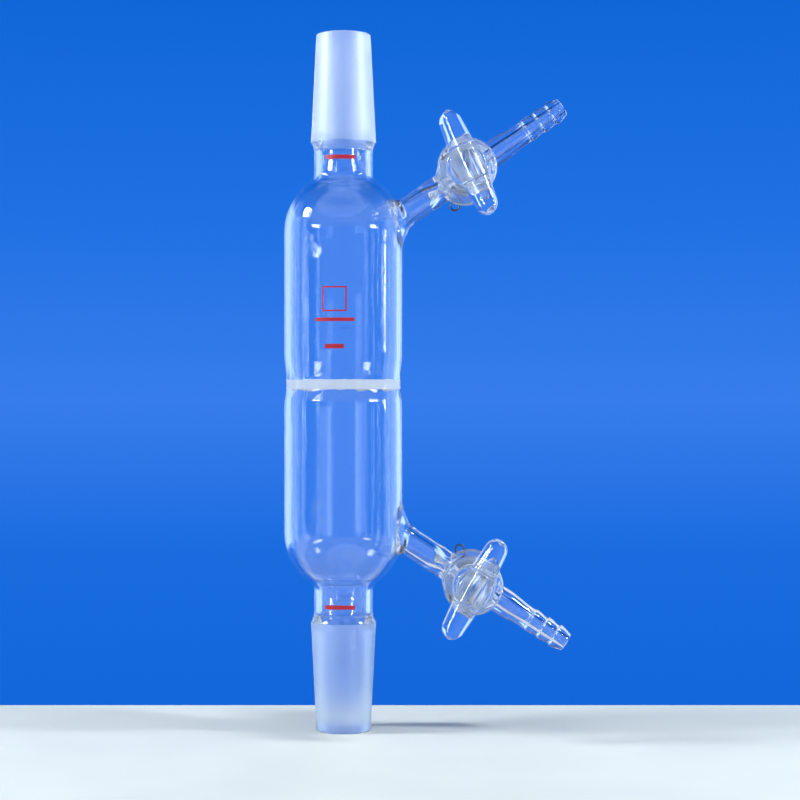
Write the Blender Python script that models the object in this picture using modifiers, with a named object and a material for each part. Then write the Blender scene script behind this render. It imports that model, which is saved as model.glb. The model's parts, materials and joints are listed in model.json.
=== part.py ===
"""Fritted filter tube for filtering under inert gas, built from its separate glass pieces.

A straight tube stands on +Z. Each end is a male 24/40 ground joint, a sintered glass disc closes
the middle, and two side arms on +X each carry a glass stopcock with a serrated hose connector.
The stopcock keys lie along Y, with their handles at -Y and their small ends at +Y.
The origin is the centre of the lower joint's end face.
"""

import math

import bmesh
import bpy

MM = 0.001
GAP = 0.3 * MM  # left wherever two pieces meet
MERGE = 0.01 * MM

# 24/40 ground joints: 24 mm at the large end, ground over 40 mm, 1:10 taper on the diameter
CONE_LARGE_R = 12.0 * MM
CONE_SMALL_R = 10.0 * MM
CONE_LENGTH = 40.0 * MM
CONE_END_ROUND = 0.6 * MM
CONE_NECK_FILLET = 6.0 * MM
NECK_R = 10.85 * MM
JOINT_LENGTH = 50.0 * MM

# Body tube
TOTAL_HEIGHT = 256.4 * MM
BODY_R = 22.0 * MM
WALL = 2.0 * MM
SHOULDER_FILLET = 4.0 * MM
LOWER_SHOULDER_Z = 73.0 * MM  # centre of the lower hemispherical shoulder
UPPER_SHOULDER_Z = 183.7 * MM

# Sintered disc, with the wall drawn in around it
FRIT_Z = 127.3 * MM
FRIT_THICKNESS = 3.7 * MM
FRIT_EDGE_ROUND = 0.4 * MM
PINCH_DEPTH = 0.9 * MM
LOWER_PINCH_LENGTH = 7.5 * MM
UPPER_PINCH_LENGTH = 12.5 * MM

# Stopcock barrel, along Y
BARREL_R = 10.3 * MM
BARREL_RIM_R = 10.8 * MM
BARREL_RIM_LENGTH = 3.6 * MM
BARREL_HALF_LENGTH = 18.0 * MM
SEAT_MID_R = 6.55 * MM
SEAT_SLOPE = 1.0 / 20.0  # 1:10 on the diameter
SEAT_CLEARANCE = 0.2 * MM
PORT_R = 2.0 * MM

# Key: plug, handle and what holds it in
KEY_HEAD_Z = 22.0 * MM
KEY_HEAD_R = 7.4 * MM
KEY_NECK_R = 6.35 * MM
TAIL_R = 4.9 * MM
TAIL_START_Z = -17.4 * MM
TAIL_END_Z = -24.6 * MM
GROOVE_R = 4.05 * MM
GROOVE_Z = -22.1 * MM
GROOVE_HALF_WIDTH = 0.65 * MM
HANDLE_Z = 28.5 * MM
HANDLE_SECTION_POINTS = 16
HANDLE_SQUARENESS = 2.4  # 2 is an ellipse
# distance from the hub's centre, half width and half depth: boss, wing and blunt tip, in mm
HANDLE_STATIONS = (
    (0.0, 5.2, 6.0), (6.3, 5.0, 5.9), (6.8, 4.6, 5.3), (15.4, 4.15, 5.2),
    (17.6, 3.75, 4.9), (19.0, 2.9, 4.2), (19.6, 1.9, 3.4),
)
HUB_TOP_Z = 30.0 * MM
HUB_CHAMFER, HUB_CHAMFER_LENGTH = 1.0 * MM, 1.5 * MM
# below the key's top: the neck's foot, the collar's edge and its full width
HEAD_STEPS = (0.8 * MM, 1.6 * MM, 2.2 * MM)
HEAD_EDGE = 0.3 * MM  # taken off the collar's edge
GROUND_TOP_PAST = 0.6 * MM  # how far the ground taper comes out of the barrel in front
GROUND_LOW_SHORT = 1.4 * MM  # and how far short of its back face it ends
TAIL_CHAMFER, TAIL_CHAMFER_LENGTH = 0.2 * MM, 0.5 * MM
TAIL_ROUND = 1.2 * MM
GROOVE_EDGE = 0.1 * MM

WASHER_INNER_R = 5.2 * MM
WASHER_OUTER_R = 9.7 * MM
WASHER_THICKNESS = 1.0 * MM
O_RING_R = 6.05 * MM
O_RING_WIRE_R = 0.85 * MM
CLIP_WIRE_R = 0.35 * MM
CLIP_INNER_R = 4.65 * MM
CLIP_OUTER_R = 9.6 * MM
CLIP_EYE_R = 1.6 * MM
CLIP_HUG_TURN = 270.0  # degrees of the groove that the wire lies in
CLIP_STEP_SHARES = (0.25, 0.55, 0.8)  # of the way out from the groove to the outer run
CLIP_STEP_TURN = 14.0
CLIP_OUTER_START, CLIP_OUTER_STEP = -162.0, 9.0  # degrees, up to where the eye begins
CLIP_EYE_STEP = 25.0

# Side arms and hose connectors, as turned along their own axis
ARM_R = 5.2 * MM
ARM_BORE_R = 3.2 * MM
ARM_FOOT_R = 11.6 * MM  # flared foot on the body
ARM_FOOT_BORE_R = 6.5 * MM
ARM_FOOT_BEFORE = 6.2 * MM  # from where the flare starts to where the arm's axis meets the wall
ARM_FOOT_PAST = 9.0 * MM
ARM_FOOT_CURVE = 1.7  # power of the flare
ARM_MOUTH = 0.4 * MM  # by which the bore has opened at the wall
ARM_HOLE_R = 4.4 * MM
WELD_R = 6.3 * MM  # where an arm is worked onto the barrel
WELD_LENGTH = 3.4 * MM
WELD_BEND = 0.3  # share of the weld's thickening left half way along it
STUB_REACH = 0.7 * BARREL_R  # where tubes start, before they're cut back to the barrel
HOSE_ROOT_R = 5.0 * MM
HOSE_NECK_R = 4.15 * MM
HOSE_BORE_R = 1.8 * MM
BARB_COUNT = 3
BARB_PITCH = 5.3 * MM
BARB_R = 4.5 * MM
BARB_VALLEY_R = 3.75 * MM
BARB_TIP_R = 3.6 * MM
BARB_STEPS = 3
BARB_EDGE, BARB_EDGE_ROUND = 0.25 * MM, 0.15 * MM
BARB_FOOT = 0.02 * MM
HOSE_TIP_LENGTH = 0.5 * MM
HOSE_TIP_ROUND, HOSE_MOUTH = 0.4 * MM, 0.3 * MM
HOSE_WAIST, HOSE_WAIST_LENGTH = 0.2 * MM, 3.0 * MM

# side: barrel centre X and Z, arm rise, handle turn and clip eye direction in degrees from +X,
# distance from the barrel centre to the body wall and to the connector's tip, clip hand
VALVES = {
    "upper": {
        "x": 45.1 * MM, "z": 205.8 * MM, "rise": 34.0, "handle": 114.0, "eye": -107.6,
        "to_wall": 27.9 * MM, "to_tip": 42.9 * MM, "hand": 1,
    },
    "lower": {
        "x": 47.3 * MM, "z": 54.7 * MM, "rise": -32.8, "handle": 61.0, "eye": 110.0,
        "to_wall": 30.1 * MM, "to_tip": 41.4 * MM, "hand": -1,
    },
}

BODY_STEPS = 36
SEAT_STEPS = 32
ARM_STEPS = 20
RING_STEPS = 24

GLASS = ((0.90, 0.95, 0.96), 0.03, 0.0, 1.0)
GROUND_GLASS = ((0.90, 0.93, 0.95), 0.45, 0.0, 0.8)
SINTERED_GLASS = ((0.93, 0.93, 0.90), 0.95, 0.0, 0.0)
PTFE = ((0.86, 0.86, 0.84), 0.5, 0.0, 0.0)
RUBBER = ((0.03, 0.03, 0.035), 0.75, 0.0, 0.0)
SPRING_STEEL = ((0.45, 0.43, 0.40), 0.3, 1.0, 0.0)


def clear_scene():
    for obj in list(bpy.data.objects):
        bpy.data.objects.remove(obj, do_unlink=True)


def new_collection(name):
    collection = bpy.data.collections.new(name)
    bpy.context.scene.collection.children.link(collection)
    return collection


def add_material(obj, look):
    colour, roughness, metallic, transmission = look
    material = bpy.data.materials.new(obj.name + "_material")
    material.use_nodes = True
    shader = material.node_tree.nodes["Principled BSDF"]
    shader.inputs["Base Color"].default_value = (*colour, 1.0)
    shader.inputs["Roughness"].default_value = roughness
    shader.inputs["Metallic"].default_value = metallic
    shader.inputs["Transmission Weight"].default_value = transmission
    shader.inputs["IOR"].default_value = 1.474
    obj.data.materials.append(material)


def place(obj, collection, parent=None, location=(0.0, 0.0, 0.0), rotation=(0.0, 0.0, 0.0)):
    collection.objects.link(obj)
    obj.parent = parent
    obj.location = location
    obj.rotation_euler = rotation
    return obj


def arc(centre, radius, start, end, count):
    """Profile points along an arc, from one angle to another in degrees."""
    angles = [math.radians(start + (end - start) * i / count) for i in range(count + 1)]
    return [(centre[0] + radius * math.cos(a), centre[1] + radius * math.sin(a)) for a in angles]


def turned(name, profile, steps, closed=True):
    """A solid of revolution about local Z. The profile runs down its outer side."""
    mesh = bpy.data.meshes.new(name)
    count = len(profile)
    edges = [(i, i + 1) for i in range(count - 1)]
    if closed:
        edges.append((count - 1, 0))
    mesh.from_pydata([(r, 0.0, z) for r, z in profile], edges, [])
    obj = bpy.data.objects.new(name, mesh)
    screw = obj.modifiers.new("Turn", "SCREW")
    screw.axis = "Z"
    screw.steps = steps
    screw.render_steps = steps
    screw.use_merge_vertices = True
    screw.merge_threshold = MERGE
    screw.use_smooth_shade = True
    return obj


def make_cutter(obj, collection, parent=None, location=(0.0, 0.0, 0.0), rotation=(0.0, 0.0, 0.0)):
    place(obj, collection, parent, location, rotation)
    obj.hide_render = True
    obj.display_type = "WIRE"
    return obj


def cut(obj, cutter, operation="DIFFERENCE"):
    boolean = obj.modifiers.new(cutter.name, "BOOLEAN")
    boolean.operation = operation
    boolean.object = cutter
    boolean.solver = "EXACT"


def rod_profile(radius, low, high):
    return [(0.0, high), (radius, high), (radius, low), (0.0, low)]


# Body tube


def joint_profile():
    """A ground joint with its small end face at z = 0 and its neck above it."""
    offset = NECK_R + CONE_NECK_FILLET - CONE_LARGE_R
    fillet_z = CONE_LENGTH + math.sqrt(CONE_NECK_FILLET**2 - offset**2)
    fillet_centre = (NECK_R + CONE_NECK_FILLET, fillet_z)
    edge_angle = 180.0 + math.degrees(math.asin((fillet_z - CONE_LENGTH) / CONE_NECK_FILLET))
    top = JOINT_LENGTH - GAP / 2
    outer = [(NECK_R, top)]
    outer += arc(fillet_centre, CONE_NECK_FILLET, 180.0, edge_angle, 3)
    end_centre = (CONE_SMALL_R - CONE_END_ROUND, CONE_END_ROUND)
    outer += arc(end_centre, CONE_END_ROUND, 0.0, -90.0, 2)
    inner = [
        (CONE_SMALL_R - WALL, 0.0),
        (CONE_SMALL_R - WALL, CONE_END_ROUND),
        (NECK_R - WALL, CONE_LENGTH),
        (NECK_R - WALL, top),
    ]
    return outer + inner


def chamber_side(shoulder, end, pinch_length, inset):
    """One face of a chamber's wall, from the neck down to the sintered disc's plane at z = 0."""
    body = BODY_R - inset
    neck = NECK_R - inset
    fillet = SHOULDER_FILLET + inset
    reach = NECK_R + SHOULDER_FILLET
    rise = math.sqrt((BODY_R + SHOULDER_FILLET) ** 2 - reach**2)
    turn = math.degrees(math.atan2(rise, reach))
    points = [(neck, end)]
    points += arc((reach, shoulder + rise), fillet, 180.0, 180.0 + turn, 3)
    points += arc((0.0, shoulder), body, turn, 0.0, 6)[1:]
    for i in range(4, -1, -1):
        height = GAP / 2 + (pinch_length - GAP / 2) * i / 4
        drawn_in = PINCH_DEPTH * (0.5 + 0.5 * math.cos(math.pi * height / pinch_length))
        points.append((body - drawn_in, height))
    return points


def chamber_profile(shoulder, end, pinch_length):
    outer = chamber_side(shoulder, end, pinch_length, 0.0)
    inner = chamber_side(shoulder, end, pinch_length, WALL)
    return outer + inner[::-1]


def make_body(parts):
    """The two joints, the two chambers and the disc. Returns the chambers by side."""
    flipped = (math.pi, 0.0, 0.0)
    chambers = {}

    lower_joint = turned("lower_joint", joint_profile(), BODY_STEPS)
    add_material(lower_joint, GROUND_GLASS)
    place(lower_joint, parts)
    upper_joint = turned("upper_joint", joint_profile(), BODY_STEPS)
    add_material(upper_joint, GROUND_GLASS)
    place(upper_joint, parts, location=(0.0, 0.0, TOTAL_HEIGHT), rotation=flipped)

    lower_end = FRIT_Z - JOINT_LENGTH - GAP / 2
    profile = chamber_profile(FRIT_Z - LOWER_SHOULDER_Z, lower_end, LOWER_PINCH_LENGTH)
    chambers["lower"] = turned("lower_chamber", profile, BODY_STEPS)
    place(chambers["lower"], parts, location=(0.0, 0.0, FRIT_Z), rotation=flipped)

    upper_end = TOTAL_HEIGHT - JOINT_LENGTH - FRIT_Z - GAP / 2
    profile = chamber_profile(UPPER_SHOULDER_Z - FRIT_Z, upper_end, UPPER_PINCH_LENGTH)
    chambers["upper"] = turned("upper_chamber", profile, BODY_STEPS)
    place(chambers["upper"], parts, location=(0.0, 0.0, FRIT_Z))
    for chamber in chambers.values():
        add_material(chamber, GLASS)

    radius = BODY_R - WALL - PINCH_DEPTH - GAP
    half = FRIT_THICKNESS / 2
    edge = radius - FRIT_EDGE_ROUND
    profile = [(0.0, half)]
    profile += arc((edge, half - FRIT_EDGE_ROUND), FRIT_EDGE_ROUND, 90.0, 0.0, 2)
    profile += arc((edge, FRIT_EDGE_ROUND - half), FRIT_EDGE_ROUND, 0.0, -90.0, 2)
    profile += [(0.0, -half)]
    frit = turned("frit_disc", profile, BODY_STEPS, closed=False)
    add_material(frit, SINTERED_GLASS)
    place(frit, parts, location=(0.0, 0.0, FRIT_Z))
    return chambers


def make_body_envelope(cutters):
    """The solid that the arms' feet are cut back to: the body's outside, grown by the gap."""
    envelopes = {}
    shoulders = {"upper": UPPER_SHOULDER_Z - FRIT_Z, "lower": FRIT_Z - LOWER_SHOULDER_Z}
    for side, shoulder in shoulders.items():
        radius = BODY_R + GAP
        profile = arc((0.0, shoulder), radius, 90.0, 0.0, 9) + [(radius, 0.0), (0.0, 0.0)]
        envelope = turned(side + "_body_envelope", profile, BODY_STEPS, closed=False)
        flip = math.pi if side == "lower" else 0.0
        envelopes[side] = make_cutter(
            envelope, cutters, location=(0.0, 0.0, FRIT_Z), rotation=(flip, 0.0, 0.0)
        )
    return envelopes


# Fixed glass of a stopcock


def seat_radius(z):
    return SEAT_MID_R + SEAT_SLOPE * z


def barrel_profile():
    """A stopcock barrel with rolled rims and a tapered seat, its large end at +Z."""
    end = BARREL_HALF_LENGTH
    rim_z = end - BARREL_RIM_LENGTH / 2
    swell = BARREL_RIM_R - BARREL_R
    rim = []
    for i in range(5):
        angle = math.radians(60.0 - 37.5 * i)
        rise = swell * (1.0 + math.cos(math.pi * i / 4)) / 2 if i > 1 else swell
        rim.append((BARREL_R + rise, rim_z + BARREL_RIM_LENGTH / 2 * math.sin(angle)))
    outer = [(BARREL_R, end)] + rim
    outer += [(r, -z) for r, z in reversed(outer)]
    inner = [(seat_radius(-end), -end), (seat_radius(end), end)]
    return outer + inner


def arm_profile(to_wall):
    """A side arm: z = 0 is the barrel's axis and the body is on the -Z side."""
    weld_z = -BARREL_R - WELD_LENGTH
    foot_top = -to_wall + ARM_FOOT_BEFORE
    foot_low = -to_wall - ARM_FOOT_PAST
    outer = [(WELD_R, -STUB_REACH), (WELD_R, -BARREL_R)]
    outer += [(ARM_R + (WELD_R - ARM_R) * WELD_BEND, (weld_z - BARREL_R) / 2), (ARM_R, weld_z)]
    steps = 7
    for i in range(steps + 1):
        share = i / steps
        radius = ARM_R + (ARM_FOOT_R - ARM_R) * share**ARM_FOOT_CURVE
        outer.append((radius, foot_top + (foot_low - foot_top) * share))
    inner = [
        (ARM_FOOT_BORE_R, foot_low),
        (ARM_BORE_R + ARM_MOUTH, -to_wall),
        (ARM_BORE_R, foot_top),
        (ARM_BORE_R, weld_z - WELD_LENGTH),
        (PORT_R, weld_z),
        (PORT_R, -STUB_REACH),
    ]
    return outer + inner


def connector_profile(to_tip):
    """A hose connector: z = 0 is the barrel's axis and the serrated tip is at +Z."""
    outer = [(HOSE_BORE_R + HOSE_MOUTH, to_tip), (BARB_TIP_R - HOSE_TIP_ROUND, to_tip)]
    tip_r = BARB_TIP_R
    for barb in range(BARB_COUNT):
        high = to_tip - barb * BARB_PITCH - (HOSE_TIP_LENGTH if barb == 0 else 0.0)
        low = to_tip - (barb + 1) * BARB_PITCH
        for i in range(BARB_STEPS):
            share = i / BARB_STEPS
            swell = math.sin(math.pi / 2 * share)
            outer.append((tip_r + (BARB_R - tip_r) * swell, high + (low - high) * share))
        tip_r = BARB_VALLEY_R
        outer.append((BARB_R, low + BARB_EDGE))
        outer.append((BARB_R - BARB_EDGE_ROUND, low + BARB_FOOT))
    neck_z = to_tip - BARB_COUNT * BARB_PITCH
    weld_z = BARREL_R + WELD_LENGTH
    outer += [(HOSE_NECK_R - HOSE_WAIST, neck_z), (HOSE_NECK_R, neck_z - HOSE_WAIST_LENGTH)]
    weld_middle_r = HOSE_ROOT_R + (WELD_R - HOSE_ROOT_R) * WELD_BEND
    outer += [(HOSE_ROOT_R, weld_z), (weld_middle_r, (weld_z + BARREL_R) / 2)]
    outer += [(WELD_R, BARREL_R), (WELD_R, STUB_REACH)]
    inner = [(PORT_R, STUB_REACH), (PORT_R, weld_z), (HOSE_BORE_R, neck_z)]
    inner += [(HOSE_BORE_R, to_tip - HOSE_MOUTH)]
    return outer + inner


# Key of a stopcock, with the handle at +Z


def plug_profile():
    """A tapered key with a grooved tail."""
    ground_top = BARREL_HALF_LENGTH + GROUND_TOP_PAST
    ground_low = -BARREL_HALF_LENGTH + GROUND_LOW_SHORT
    top_r = seat_radius(ground_top) - SEAT_CLEARANCE
    groove_top = GROOVE_Z + GROOVE_HALF_WIDTH
    groove_low = GROOVE_Z - GROOVE_HALF_WIDTH
    neck_foot, collar_edge, collar = (KEY_HEAD_Z - step for step in HEAD_STEPS)
    profile = [(0.0, KEY_HEAD_Z), (KEY_NECK_R, KEY_HEAD_Z)]
    profile += [(KEY_NECK_R, neck_foot), (KEY_HEAD_R - HEAD_EDGE, collar_edge)]
    profile += [(KEY_HEAD_R, collar), (top_r, ground_top)]
    profile += [(seat_radius(ground_low) - SEAT_CLEARANCE, ground_low)]
    profile += [(TAIL_R + TAIL_CHAMFER, TAIL_START_Z + TAIL_CHAMFER_LENGTH), (TAIL_R, TAIL_START_Z)]
    profile += [(TAIL_R, groove_top), (GROOVE_R, groove_top - GROOVE_EDGE)]
    profile += [(GROOVE_R, groove_low + GROOVE_EDGE), (TAIL_R, groove_low)]
    end_centre = (TAIL_R - TAIL_ROUND, TAIL_END_Z + TAIL_ROUND)
    profile += arc(end_centre, TAIL_ROUND, 0.0, -90.0, 3)
    profile += [(0.0, TAIL_END_Z)]
    return profile


def handle_section(distance, half_width, half_depth):
    """One closed section of the handle's bar, across X."""
    points = []
    for i in range(HANDLE_SECTION_POINTS):
        angle = 2 * math.pi * i / HANDLE_SECTION_POINTS
        side, front = math.cos(angle), math.sin(angle)
        size = (abs(side) ** HANDLE_SQUARENESS + abs(front) ** HANDLE_SQUARENESS) ** (
            -1.0 / HANDLE_SQUARENESS
        )
        points.append((distance, half_width * size * side, HANDLE_Z + half_depth * size * front))
    return points


def make_wings(name):
    """The handle's boss and its two wings as one bar along X, lofted through its sections."""
    far_side = [(-x, w, d) for x, w, d in HANDLE_STATIONS[:0:-1]]
    bar = bmesh.new()
    rings = []
    for station in far_side + list(HANDLE_STATIONS):
        distance, half_width, half_depth = (value * MM for value in station)
        section = handle_section(distance, half_width, half_depth)
        rings.append([bar.verts.new(co) for co in section])
    for ring, following in zip(rings, rings[1:]):
        for i in range(HANDLE_SECTION_POINTS):
            j = (i + 1) % HANDLE_SECTION_POINTS
            bar.faces.new((ring[i], ring[j], following[j], following[i]))
    bar.faces.new(rings[0])
    bar.faces.new(rings[-1])
    bmesh.ops.recalc_face_normals(bar, faces=bar.faces)
    mesh = bpy.data.meshes.new(name)
    bar.to_mesh(mesh)
    bar.free()
    mesh.shade_smooth()
    return bpy.data.objects.new(name, mesh)


def clip_path(hand):
    """A wire that lies in the key's groove, steps out past the ring and ends in a small eye."""
    outer_z = -BARREL_HALF_LENGTH - GAP - WASHER_THICKNESS - GAP - CLIP_WIRE_R
    eye_r = CLIP_OUTER_R + CLIP_EYE_R
    path = []
    for i in range(19):
        angle = math.radians(-180.0 + CLIP_HUG_TURN * (i / 18 - 1.0))
        path.append((CLIP_INNER_R * math.cos(angle), CLIP_INNER_R * math.sin(angle), GROOVE_Z))
    flat = CLIP_STEP_SHARES[1]  # the wire leaves the groove's plane only beyond this
    for share in CLIP_STEP_SHARES:
        radius = CLIP_INNER_R + (CLIP_OUTER_R - CLIP_INNER_R) * share
        height = GROOVE_Z + (outer_z - GROOVE_Z) * max(0.0, share - flat) / (1.0 - flat)
        angle = math.radians(-180.0 + CLIP_STEP_TURN * share)
        path.append((radius * math.cos(angle), radius * math.sin(angle), height))
    for i in range(19):
        angle = math.radians(CLIP_OUTER_START + CLIP_OUTER_STEP * i)
        path.append((CLIP_OUTER_R * math.cos(angle), CLIP_OUTER_R * math.sin(angle), outer_z))
    for i in range(1, 13):
        angle = math.radians(180.0 - CLIP_EYE_STEP * i)
        path.append((eye_r + CLIP_EYE_R * math.cos(angle), CLIP_EYE_R * math.sin(angle), outer_z))
    return [(x, hand * y, z) for x, y, z in path]


def make_clip(name, hand):
    curve = bpy.data.curves.new(name, "CURVE")
    curve.dimensions = "3D"
    curve.bevel_depth = CLIP_WIRE_R
    curve.bevel_resolution = 1
    curve.use_fill_caps = True
    spline = curve.splines.new("POLY")
    path = clip_path(hand)
    spline.points.add(len(path) - 1)
    for point, co in zip(spline.points, path):
        point.co = (*co, 1.0)
    return bpy.data.objects.new(name, curve)


def make_valve(side, parts, cutters, chamber, envelope):
    spec = VALVES[side]
    centre = (spec["x"], 0.0, spec["z"])
    rise = math.radians(spec["rise"])
    along_arm = (0.0, math.pi / 2 - rise, 0.0)

    frame = place(bpy.data.objects.new(side + "_valve_centre", None), parts, None, centre)
    key_turn = (math.pi / 2, -math.radians(spec["handle"]), 0.0)
    key = bpy.data.objects.new(side + "_key_axis", None)
    place(key, parts, frame, rotation=key_turn)

    arm_bore = turned(
        side + "_arm_bore",
        rod_profile(ARM_HOLE_R, -spec["to_wall"] - 2 * ARM_FOOT_BEFORE, 0.0),
        ARM_STEPS, closed=False,
    )
    make_cutter(arm_bore, cutters, frame, rotation=along_arm)
    cut(chamber, arm_bore)

    port = turned(side + "_port", rod_profile(PORT_R, -BODY_R, BODY_R), ARM_STEPS, closed=False)
    make_cutter(port, cutters, frame, rotation=along_arm)
    barrel = turned(side + "_stopcock_barrel", barrel_profile(), SEAT_STEPS)
    add_material(barrel, GLASS)
    place(barrel, parts, frame, rotation=(math.pi / 2, -rise, 0.0))
    cut(barrel, port)

    barrel_envelope = turned(
        side + "_barrel_envelope",
        rod_profile(BARREL_R + GAP, -BARREL_HALF_LENGTH, BARREL_HALF_LENGTH),
        SEAT_STEPS, closed=False,
    )
    make_cutter(barrel_envelope, cutters, frame, rotation=(math.pi / 2, -rise, 0.0))

    arm = turned(side + "_side_arm", arm_profile(spec["to_wall"]), ARM_STEPS)
    add_material(arm, GLASS)
    place(arm, parts, frame, rotation=along_arm)
    cut(arm, envelope)
    cut(arm, barrel_envelope)

    connector = turned(side + "_hose_connector", connector_profile(spec["to_tip"]), ARM_STEPS)
    add_material(connector, GLASS)
    place(connector, parts, frame, rotation=along_arm)
    cut(connector, barrel_envelope)

    bore_profile = rod_profile(PORT_R, -BODY_R, BODY_R)
    key_bore = turned(side + "_key_bore", bore_profile, ARM_STEPS, closed=False)
    make_cutter(key_bore, cutters, key, rotation=(0.0, math.pi / 2, 0.0))
    plug = turned(side + "_stopcock_plug", plug_profile(), SEAT_STEPS, closed=False)
    add_material(plug, GROUND_GLASS)
    place(plug, parts, key)
    cut(plug, key_bore)

    wings = make_cutter(make_wings(side + "_wings"), cutters, key)
    hub_low = KEY_HEAD_Z + GAP
    hub_profile = [(0.0, HUB_TOP_Z), (KEY_NECK_R - HUB_CHAMFER, HUB_TOP_Z)]
    hub_profile += [(KEY_NECK_R, HUB_TOP_Z - HUB_CHAMFER_LENGTH), (KEY_NECK_R, hub_low), (0.0, hub_low)]
    handle = turned(side + "_stopcock_handle", hub_profile, RING_STEPS, closed=False)
    add_material(handle, GLASS)
    place(handle, parts, key)
    cut(handle, wings, "UNION")

    washer_top = -BARREL_HALF_LENGTH - GAP
    washer_low = washer_top - WASHER_THICKNESS
    washer = turned(
        side + "_washer",
        [
            (WASHER_INNER_R, washer_top), (WASHER_OUTER_R, washer_top),
            (WASHER_OUTER_R, washer_low), (WASHER_INNER_R, washer_low),
        ],
        RING_STEPS,
    )
    add_material(washer, PTFE)
    place(washer, parts, key)

    ring_z = washer_low - GAP - O_RING_WIRE_R
    o_ring = turned(
        side + "_o_ring", arc((O_RING_R, ring_z), O_RING_WIRE_R, 90.0, -225.0, 7), RING_STEPS
    )
    add_material(o_ring, RUBBER)
    place(o_ring, parts, key)

    clip = make_clip(side + "_retaining_clip", spec["hand"])
    add_material(clip, SPRING_STEEL)
    eye_turn = math.radians(spec["eye"] - spec["handle"])
    place(clip, parts, key, rotation=(0.0, 0.0, eye_turn))


def main():
    clear_scene()
    parts = new_collection("fritted_filter_tube")
    cutters = new_collection("cutters")
    chambers = make_body(parts)
    envelopes = make_body_envelope(cutters)
    for side in VALVES:
        make_valve(side, parts, cutters, chambers[side], envelopes[side])


main()
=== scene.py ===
"""Looks for the fritted filter tube: blown and ground glass, sintered disc, stopcock keys and trim.

All the fixed glass is built as one closed skin, with rounded seals where tubes meet, and is then
divided into one open piece for each CAD node. Neighbouring pieces share the points along a seal and
have no faces between them, so light passes as it does through glass that is fused. Each key is
treated in the same way. Lengths are in millimetres up to the point where a mesh is made.
"""

import json
import math

import bmesh
import bpy
import numpy as np
from mathutils import Matrix, Vector, noise


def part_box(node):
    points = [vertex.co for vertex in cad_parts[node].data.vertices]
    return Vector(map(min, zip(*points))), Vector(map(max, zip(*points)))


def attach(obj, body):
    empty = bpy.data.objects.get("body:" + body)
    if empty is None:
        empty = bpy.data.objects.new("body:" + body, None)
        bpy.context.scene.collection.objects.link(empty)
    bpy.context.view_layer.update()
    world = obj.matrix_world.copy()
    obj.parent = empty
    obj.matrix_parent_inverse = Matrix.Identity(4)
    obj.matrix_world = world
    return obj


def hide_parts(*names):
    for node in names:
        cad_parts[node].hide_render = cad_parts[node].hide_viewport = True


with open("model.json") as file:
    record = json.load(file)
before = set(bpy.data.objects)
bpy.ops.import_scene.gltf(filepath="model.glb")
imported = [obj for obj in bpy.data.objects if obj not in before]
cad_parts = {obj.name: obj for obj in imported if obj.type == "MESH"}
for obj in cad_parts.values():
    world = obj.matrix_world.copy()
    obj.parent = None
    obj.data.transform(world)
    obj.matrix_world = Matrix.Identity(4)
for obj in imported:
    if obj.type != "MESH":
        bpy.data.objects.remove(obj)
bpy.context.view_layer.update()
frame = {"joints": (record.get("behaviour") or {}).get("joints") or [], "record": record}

MM = 0.001


def in_mm(node):
    return [np.array(corner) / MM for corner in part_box(node)]


# ---- sizes taken from the CAD, in millimetres ----
TOTAL_HEIGHT = in_mm("upper_joint")[1][2]
BODY_R = in_mm("upper_chamber")[1][1]
FRIT_LOW, FRIT_HIGH = (float(corner[2]) for corner in in_mm("frit_disc"))
FRIT_Z, FRIT_THICKNESS = (FRIT_LOW + FRIT_HIGH) / 2, FRIT_HIGH - FRIT_LOW
BARREL_HALF_LENGTH = float(in_mm("upper_stopcock_barrel")[1][1])
SLOTS = {part["node"]: part["material_slot"] for part in frame["record"]["subparts"]}
NODES = sorted(SLOTS)
LOOKS = ("clear", "greased", "ground")
CENTRES = {joint["name"].split("_")[0]: np.array(joint["pos_m"]) / MM for joint in frame["joints"]}

# ---- sizes repeated from the CAD source, in millimetres ----
WALL = 2.0
CONE_LARGE_R, CONE_SMALL_R, CONE_LENGTH = 12.0, 10.0, 40.0
CONE_END_ROUND, CONE_NECK_FILLET = 0.6, 6.0
NECK_R, JOINT_LENGTH = 10.85, 50.0
SHOULDER_FILLET = 4.0
SHOULDER_Z = {"lower": 73.0, "upper": 183.7}
PINCH_DEPTH = 0.9
PINCH_LENGTH = {"lower": 7.5, "upper": 12.5}

BARREL_R, BARREL_RIM_SWELL, BARREL_RIM_LENGTH, BARREL_EDGE_R = 10.3, 0.5, 3.6, 0.6
SEAT_MID_R, SEAT_SLOPE, SEAT_CLEARANCE, SEAT_CHAMFER = 6.55, 0.05, 0.2, 0.35
PORT_R = 2.0
ARM_R, ARM_BORE_R = 5.2, 3.2
HOSE_ROOT_R, HOSE_NECK_R, HOSE_BORE_R = 5.0, 4.15, 1.8
HOSE_ROOT_REACH, HOSE_BORE_REACH = 18.0, 16.0  # where the plain root and the wider bore end
BARB_COUNT, BARB_PITCH, BARB_R, BARB_VALLEY_R, BARB_TIP_R = 3, 5.3, 4.5, 3.75, 3.6

KEY_HEAD_Z, KEY_HEAD_R, KEY_NECK_R = 22.0, 7.4, 6.35
GROUND_TOP, GROUND_LOW = BARREL_HALF_LENGTH + 0.6, 1.4 - BARREL_HALF_LENGTH
TAIL_R, TAIL_START_Z, TAIL_END_Z = 4.9, -17.4, -24.6
GROOVE_R, GROOVE_Z, GROOVE_HALF_WIDTH = 4.05, -22.1, 0.65
HANDLE_Z, HUB_TOP_Z = 28.5, 30.0
WASHER_INNER_R, WASHER_OUTER_R, WASHER_THICKNESS, WASHER_EDGE_R = 5.2, 9.7, 1.0, 0.18
O_RING_R, O_RING_WIRE_R = 6.05, 0.85
CLIP_WIRE_R, CLIP_INNER_R, CLIP_OUTER_R, CLIP_EYE_R = 0.35, 4.65, 9.6, 1.6
GAP = 0.3

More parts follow.
